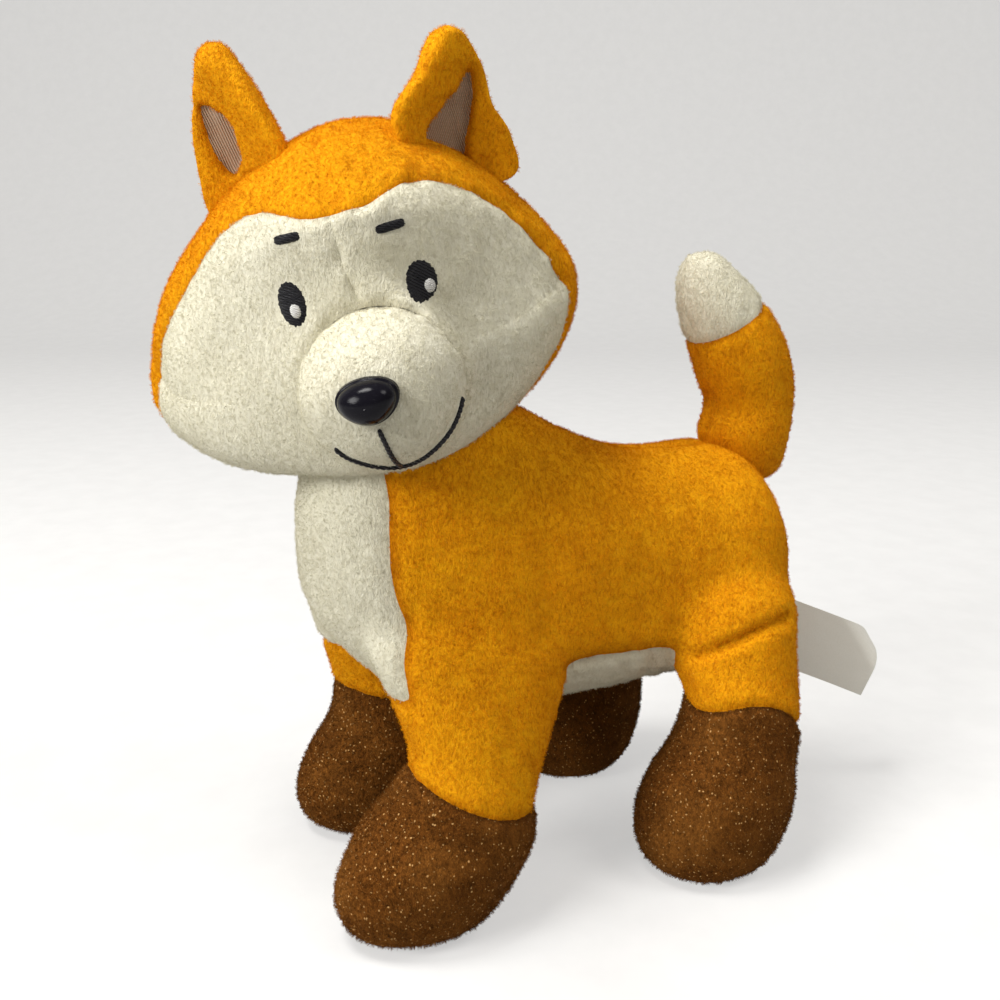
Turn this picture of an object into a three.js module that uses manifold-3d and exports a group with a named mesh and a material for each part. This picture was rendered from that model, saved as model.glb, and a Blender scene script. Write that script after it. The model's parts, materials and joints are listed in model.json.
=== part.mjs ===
// Standing plush fox with its head turned to its left. Stuffed body, head, limbs and tail lie
// under separate sewn panels. The nose is a moulded snap-in with a lock washer in the muzzle.
// Millimetres, +Z up. The fox faces -Y, its left is +X, and its paws stand on Z = 0.

import * as THREE from 'three';
import { mergeVertices } from 'three/addons/utils/BufferGeometryUtils.js';
import Module from 'manifold-3d';

const wasm = await Module();
wasm.setup();

// Cloth and clearances
const clothThickness = 1.2;
const seamGap = 0.3; // between two pieces that touch
const turnGap = 0.9; // between two stuffed parts that turn against each other
const neckGap = 1.8; // between the neck and the hollow of the head round it

// Torso
const bodyLength = 119; // chest front to rump
const backHeight = 92;
const bodyWidth = 51;
const neckRise = 16; // neck top above the back

// Head
const headWidth = 90;
const headSkew = 5.8; // how far the stuffing sits over to the right of the face's middle
const headHeight = 70;
const headDepth = 64; // without the muzzle
const headLift = 18; // head centre above the neck top
const headAhead = 1.8; // head centre in front of the neck's axis
const headTurnAngle = 65.5;
const headPitchAngle = 8;
const headRollAngle = 14;
const headSwingAngle = 15;
const muzzleWidth = 31;
const muzzleHeight = 29;
const muzzleReach = 16;
const muzzleDrop = 10;
const muzzleOffset = 1.2; // how far the muzzle sits over to the left

// Ears
const earLength = 23.5;
const earWidth = 24.5;
const earThickness = 6;
const earCup = 6; // how far an ear's edges stand in front of its middle
const earSetback = 3;
const earTwistAngle = 34; // how far an ear's hollow faces outwards
const earSwingAngle = 15;
const rightEarSpreadShare = 0.19; // of the head's width
const rightEarLeanAngle = 3;
const leftEarSpreadShare = 0.24;
const leftEarLeanAngle = 11;
const liningThickness = 0.8;

// Limbs
const frontSpread = 22.5; // mid-plane to the middle of a front paw
const hindSpread = 27.5;
const cuffLength = 26;
const cuffWidth = 25;
const cuffSlope = 10; // how much higher a cuff is in front than behind
const frontCuffHeight = 31;
const hindCuffHeight = 33.5;
const frontPawLength = 42;
const hindPawLength = 37.5;
const pawWidth = 31.5;
const shoulderLength = 40;
const shoulderWidth = 24;
const haunchLength = 38;
const haunchWidth = 30;
const frontLegSetback = 30.5; // chest front to the left front ankle
const rightFrontStep = 2.5; // how much further back the right front paw stands
const hindLegInset = 25; // rump to the left hind ankle
const rightHindStep = -6.5;

// Tail
const tailDiameter = 22.5;
const tailHeight = 44;
const tailInset = 9; // rump to the root

// Nose and its washer
const noseWidth = 10.6;
const noseHeight = 8;
const noseDome = 4.2;
const noseRim = 0.8;
const noseLift = 1.6; // above the muzzle's middle
const shankDiameter = 3.6;
const shankLength = 9;
const washerDiameter = 8;
const washerThickness = 1.4;

// Embroidery
const threadHeight = 0.5;
const threadLift = 0.42; // thread to the rounded skin, which leaves the seam gap at its facets
const eyeWidth = 5.1;
const eyeHeight = 7.3;
const glintWidth = 1.7;
const glintHeight = 2.1;
const browLength = 4.8;
const browWidth = 1.3;
const mouthWidth = 22;
const mouthHeight = 7.5;
const mouthDrop = 5.5; // muzzle's middle to the corners of the mouth
const mouthLine = 0.9;
const stemDrop = 4; // muzzle's middle to the top of the mouth's upright line

// Label
const labelWidth = 17;
const labelLength = 47; // out of the seam
const labelThickness = 0.6;
const labelTuck = 3; // how far it runs on towards the seam before it is cut
const labelHeightShare = 0.51; // of the back's height, to the middle of its sewn edge
const labelDroopAngle = 24;
const labelTurnAngle = 20; // how far it stands over to the left
const labelSwingAngle = 20;

// Colours
const orangePlush = { color: '#e8950f', roughness: 0.9, metalness: 0 };
const whitePlush = { color: '#ece7d6', roughness: 0.9, metalness: 0 };
const brownPlush = { color: '#6a3f14', roughness: 0.95, metalness: 0 };
const tanSatin = { color: '#b9967a', roughness: 0.6, metalness: 0 };
const fibreFill = { color: '#f4f2ec', roughness: 1, metalness: 0 };
const blackPlastic = { color: '#111018', roughness: 0.12, metalness: 0 };
const clearPlastic = { color: '#d8d8d4', roughness: 0.4, metalness: 0 };
const blackThread = { color: '#17151c', roughness: 0.7, metalness: 0 };
const whiteThread = { color: '#f2f0ea', roughness: 0.7, metalness: 0 };
const labelSatin = { color: '#f1eedc', roughness: 0.5, metalness: 0 };

const half = (value) => value / 2;
const mix = (from, to, share) => from + (to - from) * share;
const radians = THREE.MathUtils.degToRad;
const point = (x, y, z) => new THREE.Vector3(x, y, z);
const fillDepth = clothThickness + seamGap;
const xAxis = point(1, 0, 0);
const yAxis = point(0, 1, 0);
const zAxis = point(0, 0, 1);

// Closed meshes and solids

function meshGeometry(points, triangles) {
  const geometry = new THREE.BufferGeometry().setFromPoints(points);
  geometry.setIndex(triangles.flat());
  return geometry;
}

function toSolid(geometry) {
  const bare = new THREE.BufferGeometry();
  bare.setAttribute('position', geometry.attributes.position);
  bare.setIndex(geometry.index);
  const merged = mergeVertices(bare);
  return new wasm.Manifold(
    new wasm.Mesh({
      numProp: 3,
      vertProperties: new Float32Array(merged.attributes.position.array),
      triVerts: new Uint32Array(merged.index.array),
    }),
  );
}

function toGeometry(solid) {
  const mesh = solid.getMesh();
  const geometry = new THREE.BufferGeometry();
  geometry.setAttribute('position', new THREE.BufferAttribute(mesh.vertProperties, 3));
  geometry.setIndex(new THREE.BufferAttribute(mesh.triVerts, 1));
  return geometry;
}

function cut(geometry, tools) {
  const solid = tools.reduce((rest, tool) => rest.subtract(toSolid(tool)), toSolid(geometry));
  return toGeometry(solid);
}

function join(geometries) {
  return toGeometry(geometries.map(toSolid).reduce((all, next) => all.add(next)));
}

function moved(geometry, matrix) {
  return geometry.clone().applyMatrix4(matrix);
}

// Copies of a tool turned about an axis through a pivot, at both limits
function swept(tool, pivot, axis, angle) {
  return [-angle, angle].map((turn) => {
    const matrix = new THREE.Matrix4()
      .makeTranslation(pivot)
      .multiply(new THREE.Matrix4().makeRotationAxis(axis, radians(turn)))
      .multiply(new THREE.Matrix4().makeTranslation(pivot.clone().negate()));
    return moved(tool, matrix);
  });
}

// A stuffed form: rows of points, each a ring or a single pole, that make one closed skin
class Form {
  constructor(rows) {
    this.rows = rows;
    this.sides = Math.max(...rows.map((row) => row.length));
    this.isReversed = false;
    this.isReversed = this.volume() < 0;
  }

  volume() {
    const wedges = this.cells().flatMap((cell) =>
      this.trios(...cell).map((trio) => {
        const [a, b, c] = trio.map(([row, side]) => this.at(row, side));
        return a.dot(b.clone().cross(c));
      }),
    );
    return wedges.reduce((sum, wedge) => sum + wedge, 0);
  }

  isPole(row) {
    return this.rows[row].length === 1;
  }

  wrap(side) {
    return (side + this.sides) % this.sides;
  }

  at(row, side) {
    return this.rows[row][this.isPole(row) ? 0 : this.wrap(side)];
  }

  name(row, side) {
    return this.isPole(row) ? `${row}` : `${row}/${this.wrap(side)}`;
  }

  // The corners of a cell in order: three where it meets a pole, and else four
  corners(row, side) {
    const lower = this.isPole(row) ? [[row, side]] : [[row, side], [row, side + 1]];
    const upper = this.isPole(row + 1)
      ? [[row + 1, side]]
      : [[row + 1, side + 1], [row + 1, side]];
    return [...lower, ...upper];
  }

  // The triangles of a cell, facing out of the form
  trios(row, side) {
    const [first, ...rest] = this.corners(row, side);
    return rest
      .slice(1)
      .map((last, at) => (this.isReversed ? [last, rest[at], first] : [first, rest[at], last]));
  }

  cells(wanted = () => true) {
    const all = [];
    for (let row = 0; row < this.rows.length - 1; row += 1) {
      for (let side = 0; side < this.sides; side += 1) {
        all.push([row, side]);
      }
    }
    return all.filter(([row, side]) => wanted(row, side));
  }

  // The cells round a point
  around(row, side) {
    const sides = this.isPole(row) ? [...Array(this.sides).keys()] : [side - 1, side];
    return [row - 1, row]
      .filter((r) => r >= 0 && r < this.rows.length - 1)
      .flatMap((r) => sides.map((s) => [r, this.wrap(s)]));
  }

  middle([row, side]) {
    return middleOf(this.corners(row, side).map(([r, s]) => this.at(r, s)));
  }

  // The same rows moved into the form, or out of it where depth is negative
  inset(depth) {
    const sums = new Map();
    for (const [row, side] of this.cells()) {
      for (const trio of this.trios(row, side)) {
        const [a, b, c] = trio.map(([r, s]) => this.at(r, s));
        const face = b.clone().sub(a).cross(c.clone().sub(a));
        for (const [r, s] of trio) {
          const name = this.name(r, s);
          sums.set(name, (sums.get(name) ?? point(0, 0, 0)).add(face));
        }
      }
    }
    const placed = (spot, row, side) => {
      const outward = sums.get(this.name(row, side)).clone().normalize();
      return spot.clone().addScaledVector(outward, -depth);
    };
    return new Form(this.rows.map((row, r) => row.map((spot, s) => placed(spot, r, s))));
  }

  // The whole closed skin
  skin() {
    const starts = [];
    const points = [];
    for (const row of this.rows) {
      starts.push(points.length);
      points.push(...row);
    }
    const index = ([row, side]) => starts[row] + (this.isPole(row) ? 0 : this.wrap(side));
    const triangles = this.cells().flatMap((cell) =>
      this.trios(...cell).map((trio) => trio.map(index)),
    );
    return meshGeometry(points, triangles);
  }

  // The cloth over some of the cells: its outer face lies on the form, and its edges are drawn
  // in from each seam by half the gap
  panel(cells, thickness = clothThickness) {
    const held = new Set(cells.map(([row, side]) => `${row}/${side}`));
    const isHeld = (row, side) => held.has(`${row}/${this.wrap(side)}`);
    const inner = this.inset(thickness);
    const points = [];
    const numbers = new Map();
    const number = ([row, side], layer) => {
      const name = `${this.name(row, side)}:${layer}`;
      if (!numbers.has(name)) {
        const around = this.around(row, side);
        const kept = around.filter(([r, s]) => isHeld(r, s));
        const spot = (layer ? inner : this).at(row, side).clone();
        const isEnd = !this.isPole(row) && (row === 0 || row === this.rows.length - 1);
        if (kept.length < around.length || isEnd) {
          const towards = middleOf(kept.map((cell) => this.middle(cell)))
            .sub(this.at(row, side))
            .normalize();
          const share = kept.length === 2 ? 1 : Math.SQRT2;
          spot.addScaledVector(towards, half(seamGap) * share);
        }
        numbers.set(name, points.push(spot) - 1);
      }
      return numbers.get(name);
    };
    const triangles = [];
    for (const [row, side] of cells) {
      for (const trio of this.trios(row, side)) {
        triangles.push(trio.map((corner) => number(corner, 0)));
        triangles.push(trio.map((corner) => number(corner, 1)).reverse());
      }
      const beyond = [[row - 1, side], [row, side + 1], [row + 1, side], [row, side - 1]];
      const square = [[row, side], [row, side + 1], [row + 1, side + 1], [row + 1, side]];
      square.forEach((from, at) => {
        const to = square[(at + 1) % square.length];
        if (this.name(...from) !== this.name(...to) && !isHeld(...beyond[at])) {
          const [start, end] = this.isReversed ? [to, from] : [from, to];
          const outer = [number(end, 0), number(start, 0)];
          const within = [number(start, 1), number(end, 1)];
          triangles.push([...outer, within[0]], [outer[0], ...within]);
        }
      });
    }
    return meshGeometry(points, triangles);
  }
}

// A power that keeps the sign, for sections between an ellipse and a rounded box
const bulge = (value, fullness) => Math.sign(value) * Math.abs(value) ** (2 / fullness);

const middleOf = (spots) =>
  spots.reduce((sum, spot) => sum.add(spot), point(0, 0, 0)).divideScalar(spots.length);

const ringOf = (sides, place) =>
  Array.from({ length: sides }, (_, side) => place((2 * Math.PI * side) / sides, side));

// Torso: rings from the neck's top, round the chest and along the belly, to the tail's root.
// Each row: back line along and up, belly line along and up, half width.

const torsoSides = 20;
const gussetSides = 4; // on each side of the middle
const chestFront = -half(bodyLength);
const rump = half(bodyLength);
const torsoShares = [
  [0.27, 1.175, 0.11, 1.175, 0.42],
  [0.365, 1.16, 0.038, 1.12, 0.77],
  [0.437, 1.115, 0.026, 0.98, 0.84],
  [0.49, 1.078, 0.014, 0.87, 0.88],
  [0.54, 1.05, 0.014, 0.75, 0.93],
  [0.59, 1.025, 0.04, 0.62, 0.98],
  [0.64, 1.008, 0.1, 0.51, 1],
  [0.69, 1, 0.21, 0.435, 1],
  [0.745, 0.996, 0.42, 0.4, 0.97],
  [0.8, 0.998, 0.65, 0.405, 0.97],
  [0.845, 1, 0.83, 0.44, 0.98],
  [0.87, 0.998, 0.95, 0.54, 0.86],
  [0.885, 0.99, 0.985, 0.68, 0.72],
  [0.9, 0.98, 0.965, 0.83, 0.47],
];
const torsoEndShares = [[0.19, 1.175], [0.925, 0.93]];
const gussetAngleShares = [
  0.36, 0.36, 0.355, 0.34, 0.32, 0.3, 0.28, 0.28, 0.29, 0.27, 0.17, 0.1, 0.06, 0.06,
];
const gussetEnd = 11;
const torsoFullness = 2.2;

const torsoSpot = (along, up) => point(0, chestFront + bodyLength * along, backHeight * up);

function torsoRing([backAlong, backUp, bellyAlong, bellyUp, width], row) {
  const back = torsoSpot(backAlong, backUp);
  const belly = torsoSpot(bellyAlong, bellyUp);
  const centre = back.clone().lerp(belly, 1 / 2);
  const down = belly.clone().sub(centre);
  const halfSides = torsoSides / 2;
  return ringOf(torsoSides, (_, side) => {
    const step = side <= halfSides ? side : torsoSides - side;
    const edge = gussetAngleShares[row];
    const share =
      step <= gussetSides
        ? (edge * step) / gussetSides
        : mix(edge, 1, (step - gussetSides) / (halfSides - gussetSides));
    const turn = Math.PI * share * (side <= halfSides ? 1 : -1);
    return centre
      .clone()
      .addScaledVector(down, bulge(Math.cos(turn), torsoFullness))
      .addScaledVector(xAxis, half(bodyWidth) * width * bulge(Math.sin(turn), torsoFullness));
  });
}

const torso = new Form([
  [torsoSpot(...torsoEndShares[0])],
  ...torsoShares.map(torsoRing),
  [torsoSpot(...torsoEndShares[1])],
]);
const torsoLast = torso.rows.length - 2;
const neckRows = [1, 2, 4, 6, 8];
const isGusset = (row, side) =>
  row <= gussetEnd && (side < gussetSides || side >= torsoSides - gussetSides);
const isOpenEnd = (row) => row === 0 || row === torsoLast;
const neckAxisAt = torsoSpot(...torsoEndShares[0]).y;
const neckTop = backHeight + neckRise;

// Limbs: rings from inside the torso, down the leg to the cuff, and round the paw to its sole

const limbSides = 10;
const limbTopShare = 0.78; // of the back's height
const legShares = [
  [0.24, 0.88, 0.1],
  [0.66, 1, 0.68],
  [1, 1, 1],
];
// Height of the cuff, middle ahead of the ankle, half length and half width of the paw
const pawShares = [
  [0.82, 0.05, 0.36, 0.45],
  [0.58, 0.15, 0.455, 0.5],
  [0.32, 0.205, 0.495, 0.5],
  [0.11, 0.205, 0.435, 0.43],
  [0, 0.2, 0.27, 0.26],
];
const cuffRow = legShares.length;

function limbForm({ spread, hip, step = 0, cuffHeight, pawLength, topLength, topWidth }) {
  const ankle = hip + step;
  const top = point(half(spread), hip, backHeight * limbTopShare);
  const cuff = point(spread, ankle, cuffHeight);
  const oval = (centre, length, width, slope) =>
    ringOf(limbSides, (turn) =>
      point(
        centre.x + half(width) * Math.sin(turn),
        centre.y - half(length) * Math.cos(turn),
        centre.z + half(slope) * Math.cos(turn),
      ),
    );
  const leg = legShares.map(([down, size, taper]) =>
    oval(
      top.clone().lerp(cuff, down),
      size * mix(topLength, cuffLength, taper),
      size * mix(topWidth, cuffWidth, taper),
      cuffSlope * taper,
    ),
  );
  const paw = pawShares.map(([up, ahead, length, width]) =>
    oval(
      point(cuff.x, ankle - pawLength * ahead, cuffHeight * up),
      2 * pawLength * length,
      2 * pawWidth * width,
      cuffSlope * up * up,
    ),
  );
  const sole = point(cuff.x, ankle - pawLength * pawShares.at(-1)[1], 0);
  return new Form([[top], ...leg, ...paw, [sole]]);
}

const frontLimb = {
  spread: frontSpread,
  hip: chestFront + frontLegSetback,
  cuffHeight: frontCuffHeight,
  pawLength: frontPawLength,
  topLength: shoulderLength,
  topWidth: shoulderWidth,
};
const hindLimb = {
  spread: hindSpread,
  hip: rump - hindLegInset,
  cuffHeight: hindCuffHeight,
  pawLength: hindPawLength,
  topLength: haunchLength,
  topWidth: haunchWidth,
};
const limbs = [
  { name: 'left_front', form: limbForm(frontLimb) },
  {
    name: 'right_front',
    form: limbForm({ ...frontLimb, spread: -frontSpread, step: rightFrontStep }),
  },
  { name: 'left_hind', form: limbForm(hindLimb) },
  { name: 'right_hind', form: limbForm({ ...hindLimb, spread: -hindSpread, step: rightHindStep }) },
];

// Tail: a round ball end in the rump, then up and forward to the tip

const tailSides = 10;
// Up and back along the tail, radius
const tailShares = [
  [-0.18, 0, 0.71],
  [0, 0, 1],
  [0.22, 0.04, 0.99],
  [0.44, -0.03, 0.98],
  [0.64, -0.14, 0.87],
  [0.82, -0.26, 0.66],
  [0.93, -0.33, 0.4],
];
const tailTipShare = [0.98, -0.38];
const tailSeamRow = 5;
const tailRadius = half(tailDiameter);
const tailRoot = point(0, rump - tailInset, backHeight);
const tailSpot = (up, back) => tailRoot.clone().add(point(0, back, up).multiplyScalar(tailHeight));

function tailRing([up, back, width], row) {
  const centre = tailSpot(up, back);
  const before = row > 0 ? tailSpot(...tailShares[row - 1]) : centre;
  const next = tailShares[row + 1] ?? tailTipShare;
  const along = tailSpot(next[0], next[1]).sub(before).normalize();
  const across = xAxis.clone().cross(along);
  return ringOf(tailSides, (turn) =>
    centre
      .clone()
      .addScaledVector(xAxis, tailRadius * width * Math.sin(turn))
      .addScaledVector(across, tailRadius * width * Math.cos(turn)),
  );
}

const tail = new Form([
  [tailRoot.clone().addScaledVector(zAxis, -tailRadius)],
  ...tailShares.map(tailRing),
  [tailSpot(...tailTipShare)],
]);
const tailSocket = new THREE.SphereGeometry(tailRadius + turnGap, 12, 8).applyMatrix4(
  new THREE.Matrix4().makeTranslation(tailRoot),
);

// Head, in its own frame: it looks along -Y from the middle of the skull

const headSides = 20;
// Muzzle rings: reach ahead of the face, size, lift of the middle
const muzzleShares = [
  [0.97, 0.38],
  [0.76, 0.7],
  [0.4, 0.91],
  [0.04, 1],
];
// Top line ahead and up, bottom line ahead and up, half width, sweep of the sides, fullness
const skullShares = [
  [0.89, 0.34, 0.8, -0.82, 0.54, 0.16, 2],
  [0.88, 0.48, 0.62, -0.89, 0.78, 0.33, 2.3],
  [0.82, 0.62, 0.34, -0.95, 0.95, 0.58, 2.6],
  [0.47, 0.87, 0, -0.96, 1, 0.38, 2.2],
  [0, 0.99, -0.34, -0.89, 0.98, 0.2, 2.1],
  [-0.44, 0.97, -0.63, -0.71, 0.85, 0.16, 2],
  [-0.78, 0.73, -0.84, -0.46, 0.65, 0.08, 2],
  [-0.97, 0.37, -1, -0.14, 0.35, 0.03, 2],
];
const skullBackShares = [-1.05, 0.11];
const cheekShare = 0.29;
const lowSkewShare = 2.4;
const faceFrontShare = 0.9;
const muzzleSeamRow = muzzleShares.length;
const faceSeamRow = muzzleSeamRow + 3;

const headSpot = (ahead, up) => point(0, -half(headDepth) * ahead, half(headHeight) * up);

function headRing(top, bottom, halfWidth, sweep, fullness, cheek, skew) {
  const centre = top.clone().lerp(bottom, 1 / 2);
  const down = bottom.clone().sub(centre);
  return ringOf(headSides, (turn) => {
    const [low, out] = [Math.cos(turn), Math.sin(turn)];
    const full = low < 0 ? fullness : 2;
    return centre
      .clone()
      .addScaledVector(down, bulge(low, full))
      .addScaledVector(xAxis, halfWidth * bulge(out, full) * (1 + cheek * low))
      .addScaledVector(yAxis, sweep * out * out)
      .addScaledVector(xAxis, -skew * out * out * (1 + lowSkewShare * Math.max(low, 0) ** 2));
  });
}

const faceFront = half(headDepth) * faceFrontShare;
const muzzleRings = muzzleShares.map(([reach, size]) => {
  const middle = point(muzzleOffset, -faceFront - muzzleReach * reach, -muzzleDrop);
  const rise = zAxis.clone().multiplyScalar(half(muzzleHeight) * size);
  const [top, bottom] = [middle.clone().add(rise), middle.clone().sub(rise)];
  return headRing(top, bottom, half(muzzleWidth) * size, 0, 2, 0, 0);
});
const skullRings = skullShares.map(([topAhead, topUp, lowAhead, lowUp, width, sweep, fullness]) =>
  headRing(
    headSpot(topAhead, topUp),
    headSpot(lowAhead, lowUp),
    half(headWidth) * width,
    half(headDepth) * sweep,
    fullness,
    cheekShare,
    headSkew,
  ),
);
const head = new Form([
  [point(muzzleOffset, -faceFront - muzzleReach, -muzzleDrop)],
  ...muzzleRings,
  ...skullRings,
  [headSpot(...skullBackShares)],
]);

const headGroup = new THREE.Group();
headGroup.position.set(0, neckAxisAt - headAhead, neckTop + headLift);
headGroup.rotation.set(
  radians(headPitchAngle),
  radians(-headRollAngle),
  radians(headTurnAngle),
  'ZXY',
);
headGroup.updateMatrixWorld(true);
const intoHead = headGroup.matrixWorld.clone().invert();
const neckPivot = point(0, neckAxisAt, neckTop);
const isEven = (_, at) => at % 2 === 0;
const wideNeck = torso.inset(-neckGap);
const neckRings = neckRows.map((row) => wideNeck.rows[row].filter(isEven));
const neck = new Form([[middleOf(neckRings[0])], ...neckRings, [middleOf(neckRings.at(-1))]]);
const neckTools = swept(neck.skin(), neckPivot, zAxis, headSwingAngle).map((tool) =>
  moved(tool, intoHead),
);

// Ears, each in a frame at its foot: the hollow looks along -Y, and the tip is up

const earSides = 10;
// Up, width, thickness, cup
const earShares = [
  [-0.3, 0.95, 0.9, 1],
  [0.06, 1, 1, 1],
  [0.34, 0.86, 1, 0.85],
  [0.62, 0.62, 0.94, 0.5],
  [0.82, 0.42, 0.85, 0.2],
  [0.95, 0.24, 0.6, 0.1],
];
const earFootShare = -0.4;
const liningSides = 1; // on each side of the middle
const earStuffingShare = 0.9;

// An ear's form, or a slimmer one inside it: drawn in at its edges and off its walls
function earForm(shares, tipShare, edge, wall) {
  const rings = shares.map(([up, width, depth, cup]) =>
    ringOf(earSides, (turn) => {
      const reach = half(earWidth) * width;
      const across = (reach - edge) * Math.sin(turn);
      const thick = half(earThickness) * depth - wall;
      const hollow = earCup * cup * ((across / reach) ** 2 - 1 / 2);
      return point(across, -thick * Math.cos(turn) - hollow, earLength * up);
    }),
  );
  const foot = point(0, 0, earLength * earFootShare);
  return new Form([[foot], ...rings, [point(0, 0, earLength * tipShare)]]);
}

const ear = earForm(earShares, 1, 0, 0);
const stuffingShares = earShares.slice(0, -1);
const earStuffing = earForm(stuffingShares, earStuffingShare, 3 * fillDepth, 1.4 * fillDepth);
const isLining = (row, side) =>
  row > 0 && row < earShares.length && (side < liningSides || side >= earSides - liningSides);
const headSkin = head.skin();
headSkin.computeVertexNormals();
const headSurface = new THREE.Mesh(headSkin, new THREE.MeshBasicMaterial());
const castOn = (from, direction) =>
  new THREE.Raycaster(from, direction).intersectObject(headSurface)[0];

// An ear's frame at its foot, and the flat underside that clears the head at both limits
function earSeat(side, spreadShare, lean) {
  const above = point(side * headWidth * spreadShare, earSetback, headHeight);
  const foot = castOn(above, zAxis.clone().negate());
  const frame = new THREE.Group();
  frame.position.copy(foot.point);
  frame.rotation.set(0, radians(side * lean), radians(side * earTwistAngle), 'YZX');
  frame.updateMatrixWorld(true);
  const block = new THREE.BoxGeometry(headWidth, headWidth, headWidth);
  block.translate(0, 0, turnGap - half(headWidth));
  block.applyQuaternion(new THREE.Quaternion().setFromUnitVectors(zAxis, foot.face.normal));
  block.applyQuaternion(frame.quaternion.clone().invert());
  return [frame, swept(block, point(0, 0, 0), xAxis, earSwingAngle)];
}

// Nose: a rounded triangle, wider at the top, domed in front of a thin rim

const noseAt = point(muzzleOffset, -faceFront - muzzleReach, noseLift - muzzleDrop);
const noseSides = 16;
// Ahead along the dome, size
const noseShares = [
  [0, 0.93],
  [0.35, 0.86],
  [0.68, 0.69],
  [0.9, 0.42],
];
const noseTaperShare = 0.2;
const noseRing = (ahead, size) =>
  ringOf(noseSides, (turn) => {
    const up = Math.cos(turn);
    const across = half(noseWidth) * size * Math.sin(turn) * (1 + noseTaperShare * up);
    return noseAt.clone().add(point(across, -ahead, half(noseHeight) * size * up));
  });
const noseBack = -noseDome;
const nose = new Form([
  [noseAt.clone().addScaledVector(yAxis, -noseBack)],
  noseRing(noseBack, 1),
  noseRing(noseRim, 1),
  ...noseShares.map(([ahead, size]) => noseRing(noseRim + noseDome * ahead, size)),
  [noseAt.clone().addScaledVector(yAxis, -noseRim - noseDome)],
]);
const pegSides = 10;

// A round peg along the nose's axis, between two distances behind the muzzle's tip
function peg(diameter, from, to) {
  const length = to - from;
  const middle = noseAt.clone().addScaledVector(yAxis, mix(from, to, 1 / 2));
  return new THREE.CylinderGeometry(half(diameter), half(diameter), length, pegSides).applyMatrix4(
    new THREE.Matrix4().makeTranslation(middle),
  );
}

const washerFront = muzzleReach * (1 - muzzleShares[0][0]) + fillDepth;
const washerBack = washerFront + washerThickness;
const shankHole = peg(shankDiameter + 2 * seamGap, -noseDome, shankLength + seamGap);
const washerPocket = peg(washerDiameter + 2 * seamGap, noseBack, washerBack + seamGap);
const washer = cut(peg(washerDiameter, washerFront, washerBack), [shankHole]);

// Embroidery: thread laid on the face, from places across and up in the head's frame

const headPlace = (acrossShare, upShare) => [half(headWidth) * acrossShare, half(headHeight) * upShare];

function onFace([across, up], height) {
  const from = point(across, -headDepth - muzzleReach, up);
  const hit = castOn(from, yAxis);
  return hit.point.addScaledVector(hit.normal, height);
}

// A closed patch of thread inside an outline of places round its middle
function threadPatch([across, up], width, height, fullness, grow = 0) {
  const sides = 12;
  const lower = threadLift - 3 * grow;
  const upper = threadLift + threadHeight + 3 * grow;
  const outline = (size, lift) =>
    ringOf(sides, (turn) =>
      onFace(
        [
          across + (half(width) + grow) * size * bulge(Math.sin(turn), fullness),
          up + (half(height) + grow) * size * bulge(Math.cos(turn), fullness),
        ],
        lift,
      ),
    );
  return new Form([
    [onFace([across, up], upper)],
    outline(1 / 2, upper),
    outline(1, upper),
    outline(1, lower),
    outline(1 / 2, lower),
    [onFace([across, up], lower)],
  ]).skin();
}

// A line of thread along places
function threadLine(places) {
  const rows = places.map(([across, up], at) => {
    const before = places[Math.max(at - 1, 0)];
    const after = places[Math.min(at + 1, places.length - 1)];
    const along = new THREE.Vector2(after[0] - before[0], after[1] - before[1]).normalize();
    const [sideways, raised] = [-along.y * half(mouthLine), along.x * half(mouthLine)];
    const [lower, upper] = [threadLift, threadLift + threadHeight];
    return [
      onFace([across + sideways, up + raised], lower),
      onFace([across - sideways, up - raised], lower),
      onFace([across - sideways, up - raised], upper),
      onFace([across + sideways, up + raised], upper),
    ];
  });
  return new Form([[middleOf(rows[0])], ...rows, [middleOf(rows.at(-1))]]).skin();
}

const eyePlaces = { left: headPlace(0.266, 0.168), right: headPlace(-0.241, 0.222) };
const browPlaces = { left: headPlace(0.209, 0.466), right: headPlace(-0.185, 0.534) };
const glintShares = [0.06, -0.17];
const browFullness = 4;
// Across and up along the mouth, right corner to left corner
const smileShares = [
  [-0.42, 0],
  [-0.38, -0.22],
  [-0.31, -0.42],
  [-0.22, -0.65],
  [-0.12, -0.86],
  [-0.02, -0.97],
  [0.08, -1],
  [0.18, -0.95],
  [0.28, -0.82],
  [0.37, -0.69],
  [0.45, -0.55],
  [0.52, -0.36],
  [0.58, -0.13],
];
const mouthSpot = (acrossShare, upShare) => [
  muzzleOffset + mouthWidth * acrossShare,
  mouthHeight * upShare - muzzleDrop - mouthDrop,
];
const smile = smileShares.map((share) => mouthSpot(...share));
const stemFoot = mouthSpot(0, -0.99);
const stemSteps = 6;
const stem = Array.from({ length: stemSteps + 1 }, (_, step) => [
  stemFoot[0],
  mix(-muzzleDrop - stemDrop, stemFoot[1], step / stemSteps),
]);

// Assembly

const fox = new THREE.Group();

function addPiece(parent, name, geometry, look) {
  const mesh = new THREE.Mesh(geometry, new THREE.MeshStandardMaterial(look));
  mesh.name = name;
  parent.add(mesh);
  return mesh;
}

const torsoTools = [tailSocket];
const torsoOuter = torso.inset(-seamGap).skin();
const torsoPanel = (wanted) =>
  cut(torso.panel(torso.cells((row, side) => !isOpenEnd(row) && wanted(row, side))), torsoTools);
addPiece(fox, 'body_filling', cut(torso.inset(fillDepth).skin(), torsoTools), fibreFill);
addPiece(fox, 'chest_and_belly_panel', torsoPanel(isGusset), whitePlush);
addPiece(
  fox,
  'left_flank',
  torsoPanel((row, side) => !isGusset(row, side) && side < torsoSides / 2),
  orangePlush,
);
addPiece(
  fox,
  'right_flank',
  torsoPanel((row, side) => !isGusset(row, side) && side >= torsoSides / 2),
  orangePlush,
);

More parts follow.
